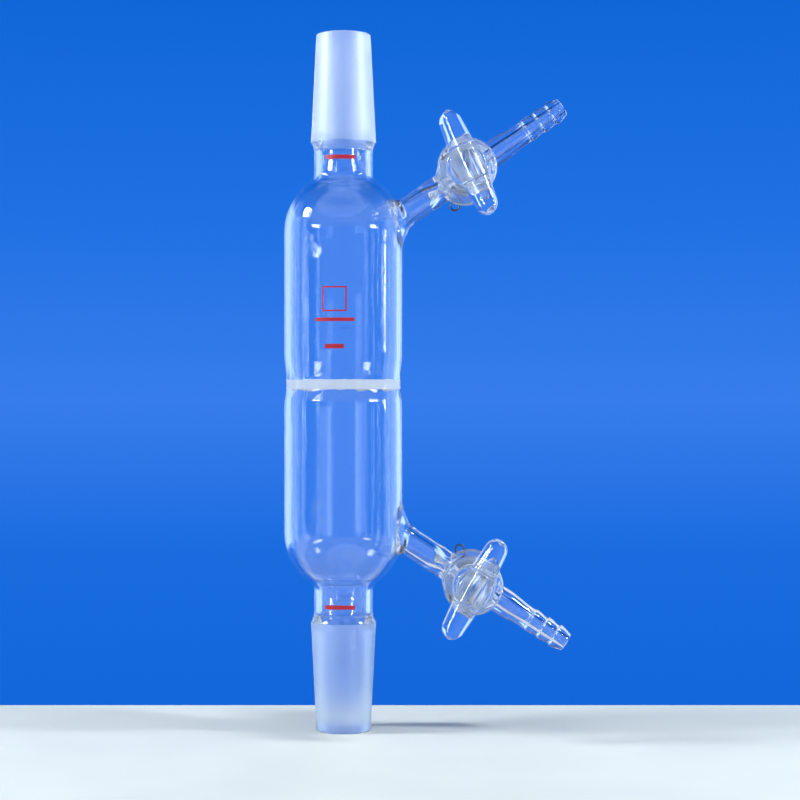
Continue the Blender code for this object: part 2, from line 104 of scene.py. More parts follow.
# rise of the arm, handle turn and clip eye in degrees from +X; distance from the barrel's axis to
# the connector's tip; hand of the clip
VALVES = {
    "upper": {"rise": 34.0, "handle": 114.0, "eye": -107.6, "to_tip": 42.9, "hand": 1},
    "lower": {"rise": -32.8, "handle": 61.0, "eye": 110.0, "to_tip": 41.4, "hand": -1},
}

# ---- mesh making ----
WELD = 0.002  # points this near each other become one
FARTHEST_SEAL = 40.0  # a tube leaves the surface within this distance
SEAL_RINGS, SEAL_STEPS, SEAL_PULL = 4, 8, 0.6
HALVINGS = 50  # in the search for where a tube crosses a wall
CIRCLE_POINTS, REACH_STEP, REACH_LIMIT = 24, 0.5, 60.0
SHARP_ANGLE, KEY_SHARP_ANGLE = 40.0, 32.0
BODY_COLUMNS, RING_COLUMNS = 128, 96
TUBE_COLUMNS = 72  # around every side tube and barrel, and around every hole that one is fused to
# cells of each hole, across and along, so that its edge has TUBE_COLUMNS points
ARM_HOLES = ((22, 14), (18, 18))  # outside and inside the body's wall
BARREL_HOLE, BARREL_HOLE_REACH = (22, 14), 8.4
SEAT_HOLE, SEAT_HOLE_REACH = (14, 22), 4.4
HOLE_RANGE = {  # heights of the holes for the arms, outside and inside the wall
    "upper": ((168.5, 199.5), (175.0, 199.0)),
    "lower": ((57.5, 88.5), (58.0, 82.0)),
}
UNEVEN_REACH, UNEVEN_SCALE, UNEVEN_DEPTH = 5.5, 0.22, 0.16  # the wall round the disc
UNEVEN_OCTAVE, UNEVEN_LEAST = 2.3, 0.02


def arc(centre, radius, start, end, count):
    angles = np.radians(np.linspace(start, end, count + 1))
    return [(centre[0] + radius * math.cos(a), centre[1] + radius * math.sin(a)) for a in angles]


def smooth(share):
    share = np.clip(share, 0.0, 1.0)
    return share * share * (3.0 - 2.0 * share)


def show(name, data):
    """A new object in the scene."""
    made = bpy.data.objects.new(name, data)
    bpy.context.scene.collection.objects.link(made)
    return made


def smooth_mesh(name, builder, sharp_angle=None, material=None):
    mesh = bpy.data.meshes.new(name)
    builder.to_mesh(mesh)
    builder.free()
    mesh.shade_smooth()
    if sharp_angle:
        mesh.set_sharp_from_angle(angle=math.radians(sharp_angle))
    if material:
        mesh.materials.append(material)
    return mesh


def evaluated_mesh(item):
    graph = bpy.context.evaluated_depsgraph_get()
    return bpy.data.meshes.new_from_object(item.evaluated_get(graph))


def values(collection, field, kind=float, width=1):
    """One field of every item of a collection, as an array."""
    made = np.zeros(len(collection) * width, kind)
    collection.foreach_get(field, made)
    return made.reshape(-1, width) if width > 1 else made


# ---- skins ----


class Axis:
    """A line in space, with a side that angle 0 round it faces."""

    def __init__(self, origin, along, side):
        self.origin, self.along, self.side = (np.array(v, float) for v in (origin, along, side))
        self.cross = np.cross(self.along, self.side)

    def spoke(self, angle):
        angle = np.asarray(angle, float)
        return np.cos(angle)[..., None] * self.side + np.sin(angle)[..., None] * self.cross

    def at(self, height, angle, radius):
        height, radius = np.asarray(height, float), np.asarray(radius, float)
        return self.origin + height[..., None] * self.along + radius[..., None] * self.spoke(angle)

    def place(self, points):
        """The height and the angle of each point."""
        offset = points - self.origin
        return offset @ self.along, np.arctan2(offset @ self.cross, offset @ self.side)

    def turned(self, profile, columns):
        """A grid of points from a profile of (radius, height)."""
        radius, height = np.array(profile, float).T[..., None]
        return self.at(height, 2 * np.pi * np.arange(columns) / columns, radius)


UPRIGHT = ((0, 0, 0), (0, 0, 1), (1, 0, 0))


class Wall(Axis):
    """A surface of revolution with a radius for each height, and its grid of points with holes."""

    def __init__(self, axis, radius, points, holes):
        super().__init__(*axis)
        self.radius, self.points, self.holes = radius, points, holes

    def surface(self, height, angle):
        return self.at(height, angle, self.radius(np.asarray(height, float)))

    def beyond(self, points):
        """How far points are outside this surface, measured from its axis."""
        offset = points - self.origin
        height = offset @ self.along
        across = offset - height[..., None] * self.along
        return np.linalg.norm(across, axis=-1) - self.radius(height)

    def normal(self, points):
        step = 0.01
        height, angle = self.place(points)
        along = self.surface(height + step, angle) - self.surface(height - step, angle)
        around = self.surface(height, angle + step) - self.surface(height, angle - step)
        normal = np.cross(around, along)
        return normal / np.linalg.norm(normal, axis=-1, keepdims=True)

    def edge(self, hole):
        """The points round one of the grid's rectangular holes, in order."""
        low, high, left, right = self.holes[hole]
        ring = [(low, j) for j in range(left, right)] + [(i, right) for i in range(low, high)]
        ring += [(high, j) for j in range(right, left, -1)]
        ring += [(i, left) for i in range(high, low, -1)]
        return np.array([self.points[i, j % self.points.shape[1]] for i, j in ring])


class Skin:
    """Points and faces that are welded into one closed surface."""

    def __init__(self):
        self.points, self.faces, self.tags, self.looks = [], [], [], []

    def grid(self, points, tags, looks="clear", holes=()):
        """Quads over rows and columns. tags and looks are one value, or one for each row."""
        rows, columns = points.shape[:2]
        base = sum(len(earlier) for earlier in self.points)
        self.points.append(points.reshape(-1, 3))
        for i in range(rows - 1):
            tag = tags if isinstance(tags, str) else tags[i]
            look = looks if isinstance(looks, str) else looks[i]
            for j in range(columns):
                if any(in_hole(i, j, hole, columns) for hole in holes):
                    continue
                k = (j + 1) % columns
                low, high = base + i * columns, base + (i + 1) * columns
                self.faces.append((low + j, low + k, high + k, high + j))
                self.tags.append(tag)
                self.looks.append(look)

    def to_mesh(self, name, finish=None):
        """One welded mesh. Its faces carry their node and look as whole numbers."""
        skin = bmesh.new()
        tag_layer = skin.faces.layers.int.new("tag")
        points = [skin.verts.new(p * MM) for p in np.concatenate(self.points)]
        for corners, tag, look in zip(self.faces, self.tags, self.looks):
            face = skin.faces.new([points[i] for i in corners])
            face[tag_layer] = NODES.index(tag)
            face.material_index = LOOKS.index(look)
        bmesh.ops.remove_doubles(skin, verts=skin.verts, dist=WELD * MM)
        bmesh.ops.recalc_face_normals(skin, faces=skin.faces)
        if finish:
            finish(skin)
        return smooth_mesh(name, skin, SHARP_ANGLE)


def in_hole(i, j, hole, columns):
    low, high, left, right = hole
    return low <= i < high and (j - left) % columns < right - left


def evened(angle):
    """Evenly spaced angles that lie as near as they can to the given ones."""
    even = -np.pi + 2 * np.pi * np.arange(len(angle)) / len(angle)
    return even + np.mean(angle - even)


def flattened(vectors, normals):
    return vectors - np.sum(vectors * normals, axis=-1, keepdims=True) * normals


def fuse(skin, wall, hole, tube, radius, outward, flare, tag, tube_tag):
    """Joins a tube to a hole in a wall with a rounded seal.

    The tube's angle 0 is on its crotch side. outward is 1 where the tube leaves the wall along its
    own axis and -1 where it comes in. flare gives, for an angle round the tube, how far the seal
    reaches along the tube and along the wall. Returns the reach and the angle of each point where
    the plain tube begins.
    """
    edge = wall.edge(hole)
    _, angle = tube.place(edge)
    order = np.roll(np.arange(len(edge)), -int(np.argmin(angle)))
    if np.mod(angle[order[1]] - angle[order[0]], 2 * np.pi) > np.pi:
        order = np.concatenate([order[:1], order[:0:-1]])
    edge, angle = edge[order], angle[order]
    angle = (angle + evened(angle)) / 2

    low = np.full(len(edge), reach_inside(wall, tube, radius, outward))
    high = low + FARTHEST_SEAL * outward
    for _ in range(HALVINGS):
        middle = (low + high) / 2
        outside = wall.beyond(tube.at(middle, angle, radius)) > 0
        high, low = np.where(outside, middle, high), np.where(outside, low, middle)
    crossing_reach = (low + high) / 2
    crossing = tube.at(crossing_reach, angle, radius)

    along_tube, along_wall = flare(angle)
    begin_reach = crossing_reach + outward * along_tube
    begin = tube.at(begin_reach, angle, radius)
    way = flattened(tube.spoke(angle), wall.normal(crossing))
    way /= np.linalg.norm(way, axis=-1, keepdims=True)
    end = wall.surface(*wall.place(crossing + way * along_wall[:, None]))
    back = flattened(crossing - end, wall.normal(end))

    share = np.linspace(0.0, 1.0, SEAL_STEPS + 1)[:, None, None]
    second, third = end + SEAL_PULL * back, begin + SEAL_PULL * (crossing - begin)
    seal = (
        (1 - share) ** 3 * end
        + 3 * (1 - share) ** 2 * share * second
        + 3 * (1 - share) * share**2 * third
        + share**3 * begin
    )
    skin.grid(seal, tube_tag)

    share = np.linspace(0.0, 1.0, SEAL_RINGS + 1)[:, None]
    places = zip(wall.place(edge), wall.place(end))
    apron = wall.surface(*(first + (last - first) * share for first, last in places))
    apron[0] = edge
    skin.grid(apron, tag)
    return begin_reach, angle


def reach_inside(wall, tube, radius, outward):
    """The nearest reach on the tube at which all of its circle is inside the wall's surface."""
    angles = np.linspace(0.0, 2 * np.pi, CIRCLE_POINTS, endpoint=False)
    for reach in np.arange(0.0, REACH_LIMIT, REACH_STEP):
        for candidate in (-reach * outward, reach * outward):
            if (wall.beyond(tube.at(candidate, angles, radius)) < 0).all():
                return candidate
    raise ValueError("the tube never lies inside the surface")


def run(skin, tube, first, last, radius, rows, tag):
    """Plain tube between two rings of (reach, angle), with a radius for each reach."""
    share = np.linspace(0.0, 1.0, rows + 1)[:, None]
    reach, angle = (start + (end - start) * share for start, end in zip(first, last))
    skin.grid(tube.at(reach, angle, radius(reach)), tag)


# ---- fixed glass ----


def pinch(z):
    """How far the wall is drawn in around the disc."""
    below = (FRIT_Z - z) / PINCH_LENGTH["lower"]
    above = (z - FRIT_Z) / PINCH_LENGTH["upper"]
    share = np.clip(np.maximum(below, above), 0.0, 1.0)
    return PINCH_DEPTH * (0.5 + 0.5 * np.cos(np.pi * share))


def chamber_radius(inset):
    radius = BODY_R - inset

    def at(z):
        below = np.maximum(SHOULDER_Z["lower"] - z, 0.0)
        above = np.maximum(z - SHOULDER_Z["upper"], 0.0)
        past = np.minimum(np.maximum(below, above), radius * 0.999)  # a root of more than zero
        return np.sqrt(radius**2 - past**2) - pinch(z)

    return at


def joint_side(inset):
    """(radius, height) up one side of a lower joint, from its end face to its neck."""
    offset = NECK_R + CONE_NECK_FILLET - CONE_LARGE_R
    fillet_z = CONE_LENGTH + math.sqrt(CONE_NECK_FILLET**2 - offset**2)
    edge_angle = 180.0 + math.degrees(math.asin((fillet_z - CONE_LENGTH) / CONE_NECK_FILLET))
    heights = list(np.linspace(4.0, CONE_LENGTH, 10))
    if inset:
        near, far = CONE_SMALL_R - WALL, NECK_R - WALL
        heights = [CONE_END_ROUND] + heights + [fillet_z]
        side = [(near + (far - near) * smooth(z / CONE_LENGTH), z) for z in heights]
        return [(near + 0.5, 0.0), (near + 0.15, 0.15)] + side
    end = arc((CONE_SMALL_R - CONE_END_ROUND, CONE_END_ROUND), CONE_END_ROUND, -90.0, 0.0, 5)
    widening = CONE_LARGE_R - CONE_SMALL_R
    cone = [(CONE_SMALL_R + widening * z / CONE_LENGTH, z) for z in heights]
    neck = arc((NECK_R + CONE_NECK_FILLET, fillet_z), CONE_NECK_FILLET, edge_angle, 180.0, 8)
    return end + cone + neck[1:]


def shoulder_side(side, inset, hole_z):
    """(radius, height) from the neck to the disc's plane. The rows of a hole are evenly spaced."""
    sign = 1.0 if side == "upper" else -1.0
    centre = SHOULDER_Z[side]
    reach = NECK_R + SHOULDER_FILLET
    rise = math.sqrt((BODY_R + SHOULDER_FILLET) ** 2 - reach**2)
    turn = math.degrees(math.atan2(rise, reach))
    fillet = arc((reach, rise), SHOULDER_FILLET + inset, 180.0, 180.0 + turn, 8)
    points = [(NECK_R - inset, rise + 2.0)] + fillet
    far = max((z - centre) * sign for z in hole_z)
    near = min((z - centre) * sign for z in hole_z)
    radius = BODY_R - inset
    stop = math.degrees(math.asin(min(far / radius, 1.0)))
    points += arc((0.0, 0.0), radius, turn, stop, 8)[1:-1]
    disc = abs(FRIT_Z - centre)
    heights = list(np.linspace(far, near, len(hole_z)))
    heights += list(np.linspace(near, PINCH_LENGTH[side] - disc, 9))[1:]
    heights += list(np.linspace(PINCH_LENGTH[side] - disc, -disc, 11))[1:]
    at = chamber_radius(inset)
    rows = [(r, centre + sign * h) for r, h in points]
    return rows + [(float(at(centre + sign * h)), centre + sign * h) for h in heights]


def hole_rows(layer):
    """Heights of the rows of the arms' holes, for layer 0 outside the wall or 1 inside it."""
    count = ARM_HOLES[layer][1] + 1
    return {side: np.linspace(*HOLE_RANGE[side][layer], count) for side in VALVES}


def body_side(inset, rows):
    lower = joint_side(inset) + shoulder_side("lower", inset, rows["lower"])
    upper_joint = [(r, TOTAL_HEIGHT - z) for r, z in joint_side(inset)]
    upper = upper_joint + shoulder_side("upper", inset, rows["upper"])
    return lower + upper[::-1][1:]


def body_tag(z):
    if z < JOINT_LENGTH:
        return "lower_joint"
    if z > TOTAL_HEIGHT - JOINT_LENGTH:
        return "upper_joint"
    return "lower_chamber" if z < FRIT_Z else "upper_chamber"


def make_fixed_glass():
    skin, walls = Skin(), []
    for layer, inset in enumerate((0.0, WALL)):
        across, cells = ARM_HOLES[layer]
        rows = hole_rows(layer)
        profile = body_side(inset, rows)
        points = Axis(*UPRIGHT).turned(profile, BODY_COLUMNS)
        heights = np.array([z for _, z in profile])
        holes = {}
        for side in VALVES:
            low = int(np.argmin(abs(heights - rows[side][0])))
            holes[side] = (low, low + cells, -across // 2, across // 2)
        middles = (heights[1:] + heights[:-1]) / 2
        ground = [layer == 0 and min(z, TOTAL_HEIGHT - z) < CONE_LENGTH for z in middles]
        looks = ["ground" if matt else "clear" for matt in ground]
        skin.grid(points, [body_tag(z) for z in middles], looks, holes.values())
        walls.append(Wall(UPRIGHT, chamber_radius(inset), points, holes))
    for row, tag in ((0, "lower_joint"), (-1, "upper_joint")):
        skin.grid(np.stack([wall.points[row] for wall in walls]), tag)
    for side in VALVES:
        make_side_glass(skin, side, walls)
    return skin


def seal_size(along_tube, along_wall, tube_swell=0.0, wall_swell=0.0):
    """A seal's reach along the tube and the wall at the crotch, and how much more opposite it."""

    def at(angle):
        share = smooth(0.5 - 0.5 * np.cos(angle))
        return along_tube + tube_swell * share, along_wall + wall_swell * share

    return at


ARM_FOOT, ARM_INNER_FOOT = seal_size(2.2, 2.0, 4.0, 6.0), seal_size(1.6, 1.4, 3.4, 3.6)
BARREL_SEAL, PORT_SEAL = seal_size(1.6, 1.5), seal_size(0.25, 0.25)


def make_side_glass(skin, side, walls):
    """An arm, its barrel and its connector, each with its bore."""
    centre, spec = CENTRES[side], VALVES[side]
    rise = math.radians(spec["rise"])
    away = np.array((math.cos(rise), 0.0, math.sin(rise)))
    crotch = math.copysign(1.0, rise) * np.array((-math.sin(rise), 0.0, math.cos(rise)))
    tube = Axis(centre, away, crotch)
    chamber, arm, barrel, connector = (
        f"{side}_{part}" for part in ("chamber", "side_arm", "stopcock_barrel", "hose_connector")
    )
    outside, seat = make_barrel(skin, barrel, centre, away)

    def seal(wall, hole, *recipe):
        return fuse(skin, wall, hole, tube, *recipe)

    at_body = seal(walls[0], side, ARM_R, 1, ARM_FOOT, chamber, arm)
    at_barrel = seal(outside["body"], "body", ARM_R, -1, BARREL_SEAL, barrel, arm)
    run(skin, tube, at_body, at_barrel, arm_radius, 14, arm)
    at_body = seal(walls[1], side, ARM_BORE_R, 1, ARM_INNER_FOOT, chamber, arm)
    at_seat = seal(seat["body"], "body", PORT_R, -1, PORT_SEAL, barrel, barrel)
    run(skin, tube, at_body, at_seat, arm_bore_radius, 22, arm)

    root = seal(outside["tip"], "tip", HOSE_ROOT_R, 1, BARREL_SEAL, barrel, connector)
    at_seat = seal(seat["tip"], "tip", PORT_R, 1, PORT_SEAL, barrel, barrel)
    radius, reach = np.array(connector_profile(spec["to_tip"])).T
    angle = evened(root[1])
    skin.grid(tube.at(reach[:, None], angle, radius[:, None]), connector)
    start, end = ((np.full(TUBE_COLUMNS, at), angle) for at in (reach[0], reach[-1]))
    run(skin, tube, root, start, hose_root_radius, 5, connector)
    run(skin, tube, end, at_seat, lambda at: np.full_like(at, PORT_R), 8, connector)


def arm_radius(reach):
    """The arm is a little thicker where its end was melted to the barrel's stub."""
    swell = np.exp(-(((-reach - 15.6) / 1.3) ** 2))
    waist = np.exp(-(((-reach - 18.2) / 1.1) ** 2))
    return ARM_R + 0.22 * (swell - 0.45 * waist)


def arm_bore_radius(reach):
    return PORT_R + (ARM_BORE_R - PORT_R) * smooth((-reach - 12.4) / 5.0)


def hose_root_radius(reach):
    return HOSE_ROOT_R + (HOSE_NECK_R - HOSE_ROOT_R) * smooth((reach - 14.0) / 10.0)


def connector_profile(to_tip):
    """(radius, reach) out over the barbs, round the tip and back down the bore."""
    neck_end = to_tip - BARB_COUNT * BARB_PITCH
    root = np.linspace(HOSE_ROOT_REACH, neck_end - 0.35, 7)
    profile = [(float(hose_root_radius(z)), z) for z in root]
    for barb in range(BARB_COUNT - 1, -1, -1):
        low = to_tip - (barb + 1) * BARB_PITCH
        high = to_tip - barb * BARB_PITCH - (0.0 if barb else 0.9)
        far_r = BARB_VALLEY_R if barb else BARB_TIP_R
        foot_r = profile[-1][0]
        profile += [(foot_r + 0.05, low - 0.12), (foot_r + 0.2, low)]
        profile += arc((BARB_R - 0.25, low + 0.35), 0.27, 240.0, 380.0, 6)
        for share in np.linspace(0.25, 1.0, 6):
            swell = math.cos(math.pi / 2 * share)
            reach = low + 0.5 + (high - low - 0.75) * share
            profile.append((far_r + (BARB_R - far_r) * swell, reach))
    profile += arc((BARB_TIP_R - 0.75, to_tip - 0.9), 0.9, 33.0, 90.0, 5)
    profile += arc((HOSE_BORE_R + 0.35, to_tip - 0.35), 0.35, 100.0, 180.0, 4)
    profile += [(HOSE_BORE_R, z) for z in np.linspace(to_tip - 2.0, neck_end, 8)]
    for share in np.linspace(0.1, 1.0, 8):
        radius = HOSE_BORE_R + (PORT_R - HOSE_BORE_R) * share
        profile.append((radius, neck_end + (HOSE_BORE_REACH - neck_end) * share))
    return profile


def barrel_radius(height):
    half_rim = BARREL_RIM_LENGTH / 2
    past = (np.abs(np.asarray(height, float)) - (BARREL_HALF_LENGTH - half_rim)) / half_rim
    return BARREL_R + BARREL_RIM_SWELL * np.cos(np.pi / 2 * np.clip(past, -1.0, 1.0)) ** 2


def seat_radius(height):
    """Heights run along +Y, and the seat's large end is at -Y."""
    return SEAT_MID_R - SEAT_SLOPE * np.asarray(height, float)


def barrel_wall(skin, tag, axis, radius, look, hole, reach, flank, ends):
    """A barrel's outside or its seat, from front to back, with a hole each way."""
    middle = list(np.linspace(-reach, reach, hole[1] + 1))
    heights = [-y for y in reversed(flank)] + middle + flank
    profile = ends[0] + [(float(radius(y)), y) for y in heights] + ends[1]
    points = Axis(*axis).turned(profile, TUBE_COLUMNS)
    first, quarter, opposite = len(ends[0]) + len(flank), hole[0] // 2, TUBE_COLUMNS // 2
    rows = (first, first + hole[1])
    holes = {
        "body": (*rows, -quarter, quarter),
        "tip": (*rows, opposite - quarter, opposite + quarter),
    }
    edge = ["clear"] * len(ends[0])
    skin.grid(points, tag, edge + [look] * (len(heights) - 1) + edge, holes.values())
    facing = {"body": axis, "tip": (*axis[:2], -axis[2])}
    return {way: Wall(facing[way], radius, points, holes) for way in facing}


def make_barrel(skin, tag, centre, away):
    """The barrel's outside, its ground seat and its end faces."""
    axis, end, edge_r = (centre, (0, 1, 0), -away), BARREL_HALF_LENGTH, BARREL_EDGE_R
    rim = end - BARREL_RIM_LENGTH
    lip = float(barrel_radius(end - edge_r)) - edge_r
    front = arc((lip, -end + edge_r), edge_r, 270.0, 360.0, 5)[:-1]
    back = arc((lip, end - edge_r), edge_r, 0.0, 90.0, 5)[1:]
    recipe = (barrel_radius, "clear", BARREL_HOLE, BARREL_HOLE_REACH)
    flank = list(np.linspace(BARREL_HOLE_REACH, rim, 4))[1:]
    flank += list(np.linspace(rim, end - edge_r, 9))[1:]
    outside = barrel_wall(skin, tag, axis, *recipe, flank, (front, back))

    front, back = ([(float(seat_radius(y)) + SEAT_CHAMFER, y)] for y in (-end, end))
    recipe = (seat_radius, "greased", SEAT_HOLE, SEAT_HOLE_REACH)
    flank = list(np.linspace(SEAT_HOLE_REACH, end - SEAT_CHAMFER, 8))[1:]
    seat = barrel_wall(skin, tag, axis, *recipe, flank, (front, back))
    for row in (0, -1):
        first, last = outside["body"].points[row], seat["body"].points[row]
        skin.grid(first + (last - first) * np.linspace(0.0, 1.0, 4)[:, None, None], tag)
    return outside, seat


def hand_worked(skin):
    """Makes the wall uneven where it was melted round the disc, as it is in the photograph."""
    skin.normal_update()
    moves = []
    for vertex in skin.verts:
        place = np.array(vertex.co) / MM
        near = math.exp(-(((place[2] - FRIT_Z) / UNEVEN_REACH) ** 2))
        if math.hypot(place[0], place[1]) > BODY_R + 0.5 or near < UNEVEN_LEAST:
            continue
        bump = noise.noise(Vector(place * UNEVEN_SCALE))
        bump += 0.5 * noise.noise(Vector(place * UNEVEN_SCALE * UNEVEN_OCTAVE))
        moves.append((vertex, vertex.normal * (UNEVEN_DEPTH * near * bump * MM)))
    for vertex, move in moves:
        vertex.co += move


# ---- pieces from a skin ----


def material_for(materials, tag, look):
    """Glass is drawn along its own tube, and the two joints are ground with different grits, the
    lower one also tinted darker and bluer as painted shade.
    """
    side, part = tag.split("_", 1)
    if look == "ground":
        look = side + "_ground"
    elif look == "clear" and part in ("side_arm", "hose_connector"):
        look = side + "_clear"
    elif look == "clear" and "stopcock" in part:
        look = "handle_clear" if part == "stopcock_handle" else "stopcock_clear"
    return materials[look]


def stand_for(piece, node, body):
    """The piece moves with the body and hides the CAD node."""
    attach(piece, body)
    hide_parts(node)
    return piece


def divide(mesh, materials, body):
    """One piece for each tagged node, which it stands for, with the whole mesh's normals."""
    tag_of = values(mesh.attributes["tag"].data, "value", int)
    look_of = values(mesh.polygons, "material_index", int)
    starts, totals = (values(mesh.polygons, "loop_" + name, int) for name in ("start", "total"))
    corners = values(mesh.loops, "vertex_index", int)
    places = values(mesh.vertices, "co", width=3)
    normals = values(mesh.corner_normals, "vector", width=3)
    made = {}
    for index in np.unique(tag_of):
        tag, chosen = NODES[index], np.flatnonzero(tag_of == index)
        loops = np.concatenate([np.arange(starts[f], starts[f] + totals[f]) for f in chosen])
        used, local = np.unique(corners[loops], return_inverse=True)
        faces = [face.tolist() for face in np.split(local, np.cumsum(totals[chosen])[:-1])]
        name = tag + "_glass"
        part = bpy.data.meshes.new(name)
        part.from_pydata(places[used].tolist(), [], faces)
        shown = sorted(set(look_of[chosen]))
        for look in shown:
            part.materials.append(material_for(materials, tag, LOOKS[look]))
        for polygon, face in zip(part.polygons, chosen):
            polygon.material_index = shown.index(look_of[face])
        part.shade_smooth()
        part.normals_split_custom_set(normals[loops].tolist())
        made[tag] = stand_for(show(name, part), tag, body)
    return made


# ---- keys ----


def key_axes(side):
    """World directions of a key's own axes: along its handle, square to that, and to the front."""
    turn = math.radians(VALVES[side]["handle"])
    along = np.array((math.cos(turn), 0.0, math.sin(turn)))
    front = np.array((0.0, -1.0, 0.0))
    return np.stack([along, np.cross(front, along), front])


def plug_radius(height):
    """Heights run to the front, against the seat's."""
    return float(seat_radius(-height)) - SEAT_CLEARANCE


def plug_profile():
    """(radius, height) from the middle of the handle down to the tail's end."""
    top_r, low_r = plug_radius(GROUND_TOP), plug_radius(GROUND_LOW)
    groove_top, groove_low = GROOVE_Z + GROOVE_HALF_WIDTH, GROOVE_Z - GROOVE_HALF_WIDTH
    profile = [(0.0, HUB_TOP_Z), (KEY_NECK_R - 1.6, HUB_TOP_Z)]
    profile += arc((KEY_NECK_R - 1.6, HUB_TOP_Z - 1.6), 1.6, 80.0, 0.0, 6)
    profile += [(KEY_NECK_R, z) for z in (26.0, 24.0, KEY_HEAD_Z)]
    profile += arc((KEY_NECK_R + 0.45, KEY_HEAD_Z - 0.75), 0.45, 180.0, 260.0, 4)
    profile += arc((KEY_HEAD_R - 0.5, KEY_HEAD_Z - 1.75), 0.5, 80.0, 0.0, 5)
    profile += [(KEY_HEAD_R, KEY_HEAD_Z - 2.3), (top_r + 0.05, GROUND_TOP + 0.15)]
    for share in np.linspace(0.0, 1.0, 25):
        height = GROUND_TOP + (GROUND_LOW - GROUND_TOP) * share
        profile.append((top_r + (low_r - top_r) * share, height))
    profile += [(TAIL_R + 0.25, TAIL_START_Z + 0.45), (TAIL_R, TAIL_START_Z - 0.1)]
    profile += [(TAIL_R, groove_top + 0.15), (TAIL_R - 0.12, groove_top)]
    profile += arc((GROOVE_R + 0.3, GROOVE_Z + 0.2), 0.3, 90.0, 180.0, 3)
    profile += arc((GROOVE_R + 0.3, GROOVE_Z - 0.2), 0.3, 180.0, 270.0, 3)
    profile += [(TAIL_R - 0.12, groove_low), (TAIL_R, groove_low - 0.15)]
    profile += arc((TAIL_R - 1.2, TAIL_END_Z + 1.2), 1.2, 0.0, -90.0, 6)
    return profile + [(0.0, TAIL_END_Z)]


def finished(solid, name):
    bmesh.ops.recalc_face_normals(solid, faces=solid.faces)
    return show(name, smooth_mesh(name, solid))


def add_quads(solid, ring, following):
    for i in range(len(ring)):
        j = (i + 1) % len(ring)
        solid.faces.new((ring[i], ring[j], following[j], following[i]))


def turned_solid(name, profile, columns):
    """A closed solid of revolution about local Z, from a profile that starts and ends on it."""
    solid = bmesh.new()
    angles = 2 * np.pi * np.arange(columns) / columns
    top = solid.verts.new((0.0, 0.0, profile[0][1] * MM))
    rings = []
    for radius, height in profile[1:-1]:
        points = ((radius * math.cos(a), radius * math.sin(a), height) for a in angles)
        rings.append([solid.verts.new([value * MM for value in point]) for point in points])
    low = solid.verts.new((0.0, 0.0, profile[-1][1] * MM))
    first, last = rings[0], rings[-1]
    for i in range(columns):
        solid.faces.new((top, first[i], first[(i + 1) % columns]))
    for ring, following in zip(rings, rings[1:]):
        add_quads(solid, ring, following)
    for i in range(columns):
        solid.faces.new((last[i], last[(i + 1) % columns], low))
    return finished(solid, name)


BAR_COLUMNS = 64
BAR_SQUARENESS = 2.4
BOSS_END, WING_START, WING_ROUND, BAR_END, BAR_TIP = 6.3, 6.8, 15.5, 19.7, 0.05
PRESS_SCALE, PRESS_DEPTH = 210.0, 0.009
BEAD_AT, BEAD_REACH, BEAD_HEIGHT = 6.45, 0.28, 0.22  # where a wing was pressed on to the boss


def bar_size(distance):
    """Half width and half depth of the handle's bar at a distance from its middle."""
    if distance <= BOSS_END:
        share = distance / BOSS_END
        width, depth = 5.2 - 0.2 * share, 6.0 - 0.1 * share
    elif distance <= WING_START:
        share = float(smooth((distance - BOSS_END) / (WING_START - BOSS_END)))
        width, depth = 5.0 - 0.4 * share, 5.9 - 0.6 * share
    else:
        share = min((distance - WING_START) / (WING_ROUND - WING_START), 1.0)
        width, depth = 4.85 - 0.75 * share, 5.3 - 0.1 * share
    if distance > WING_ROUND:
        past = (distance - WING_ROUND) / (BAR_END + BAR_TIP - WING_ROUND)
        width *= math.sqrt(max(1.0 - past**2, 0.0))
        depth -= 1.5 * (1.0 - math.sqrt(max(1.0 - (past * 0.98) ** 4, 0.0)))
    bead = BEAD_HEIGHT * math.exp(-(((distance - BEAD_AT) / BEAD_REACH) ** 2))
    return width + bead, depth + bead


def make_bar(name):
    """The handle's bar along local X: a boss, a crease on each side of it and two blunt wings."""
    distances = [0.0, 1.5, 3.0, 4.5, 5.3, 5.8] + list(np.linspace(6.0, 7.0, 11)) + [7.3, 7.8]
    distances += list(np.linspace(8.4, WING_ROUND, 10))
    bends = np.linspace(0.0, math.pi / 2, 15)[1:]
    distances += [WING_ROUND + (BAR_END - WING_ROUND) * math.sin(bend) for bend in bends]
    angles = 2 * np.pi * (np.arange(BAR_COLUMNS) + 0.5) / BAR_COLUMNS
    power = abs(np.cos(angles)) ** BAR_SQUARENESS + abs(np.sin(angles)) ** BAR_SQUARENESS
    size = power ** (-1.0 / BAR_SQUARENESS)
    solid = bmesh.new()
    rings = []
    for x in [-d for d in distances[:0:-1]] + distances:
        width, depth = bar_size(abs(x))
        ring = [
            (x * MM, width * s * math.cos(a) * MM, (HANDLE_Z + depth * s * math.sin(a)) * MM)
            for a, s in zip(angles, size)
        ]
        rings.append([solid.verts.new(point) for point in ring])
    for vertex in solid.verts:  # pressed by hand, so a little uneven
        press = 1.0 + noise.noise(vertex.co * PRESS_SCALE) * PRESS_DEPTH
        vertex.co.y *= press
        vertex.co.z = HANDLE_Z * MM + (vertex.co.z - HANDLE_Z * MM) * press
    for ring, following in zip(rings, rings[1:]):
        add_quads(solid, ring, following)
    for ring, sign in ((rings[0], -1), (rings[-1], 1)):
        middle = sum((v.co for v in ring), Vector()) / len(ring)
        tip = solid.verts.new(middle + Vector((BAR_TIP * MM * sign, 0, 0)))
        for i in range(BAR_COLUMNS):
            solid.faces.new((ring[i], ring[(i + 1) % BAR_COLUMNS], tip))
    return finished(solid, name)


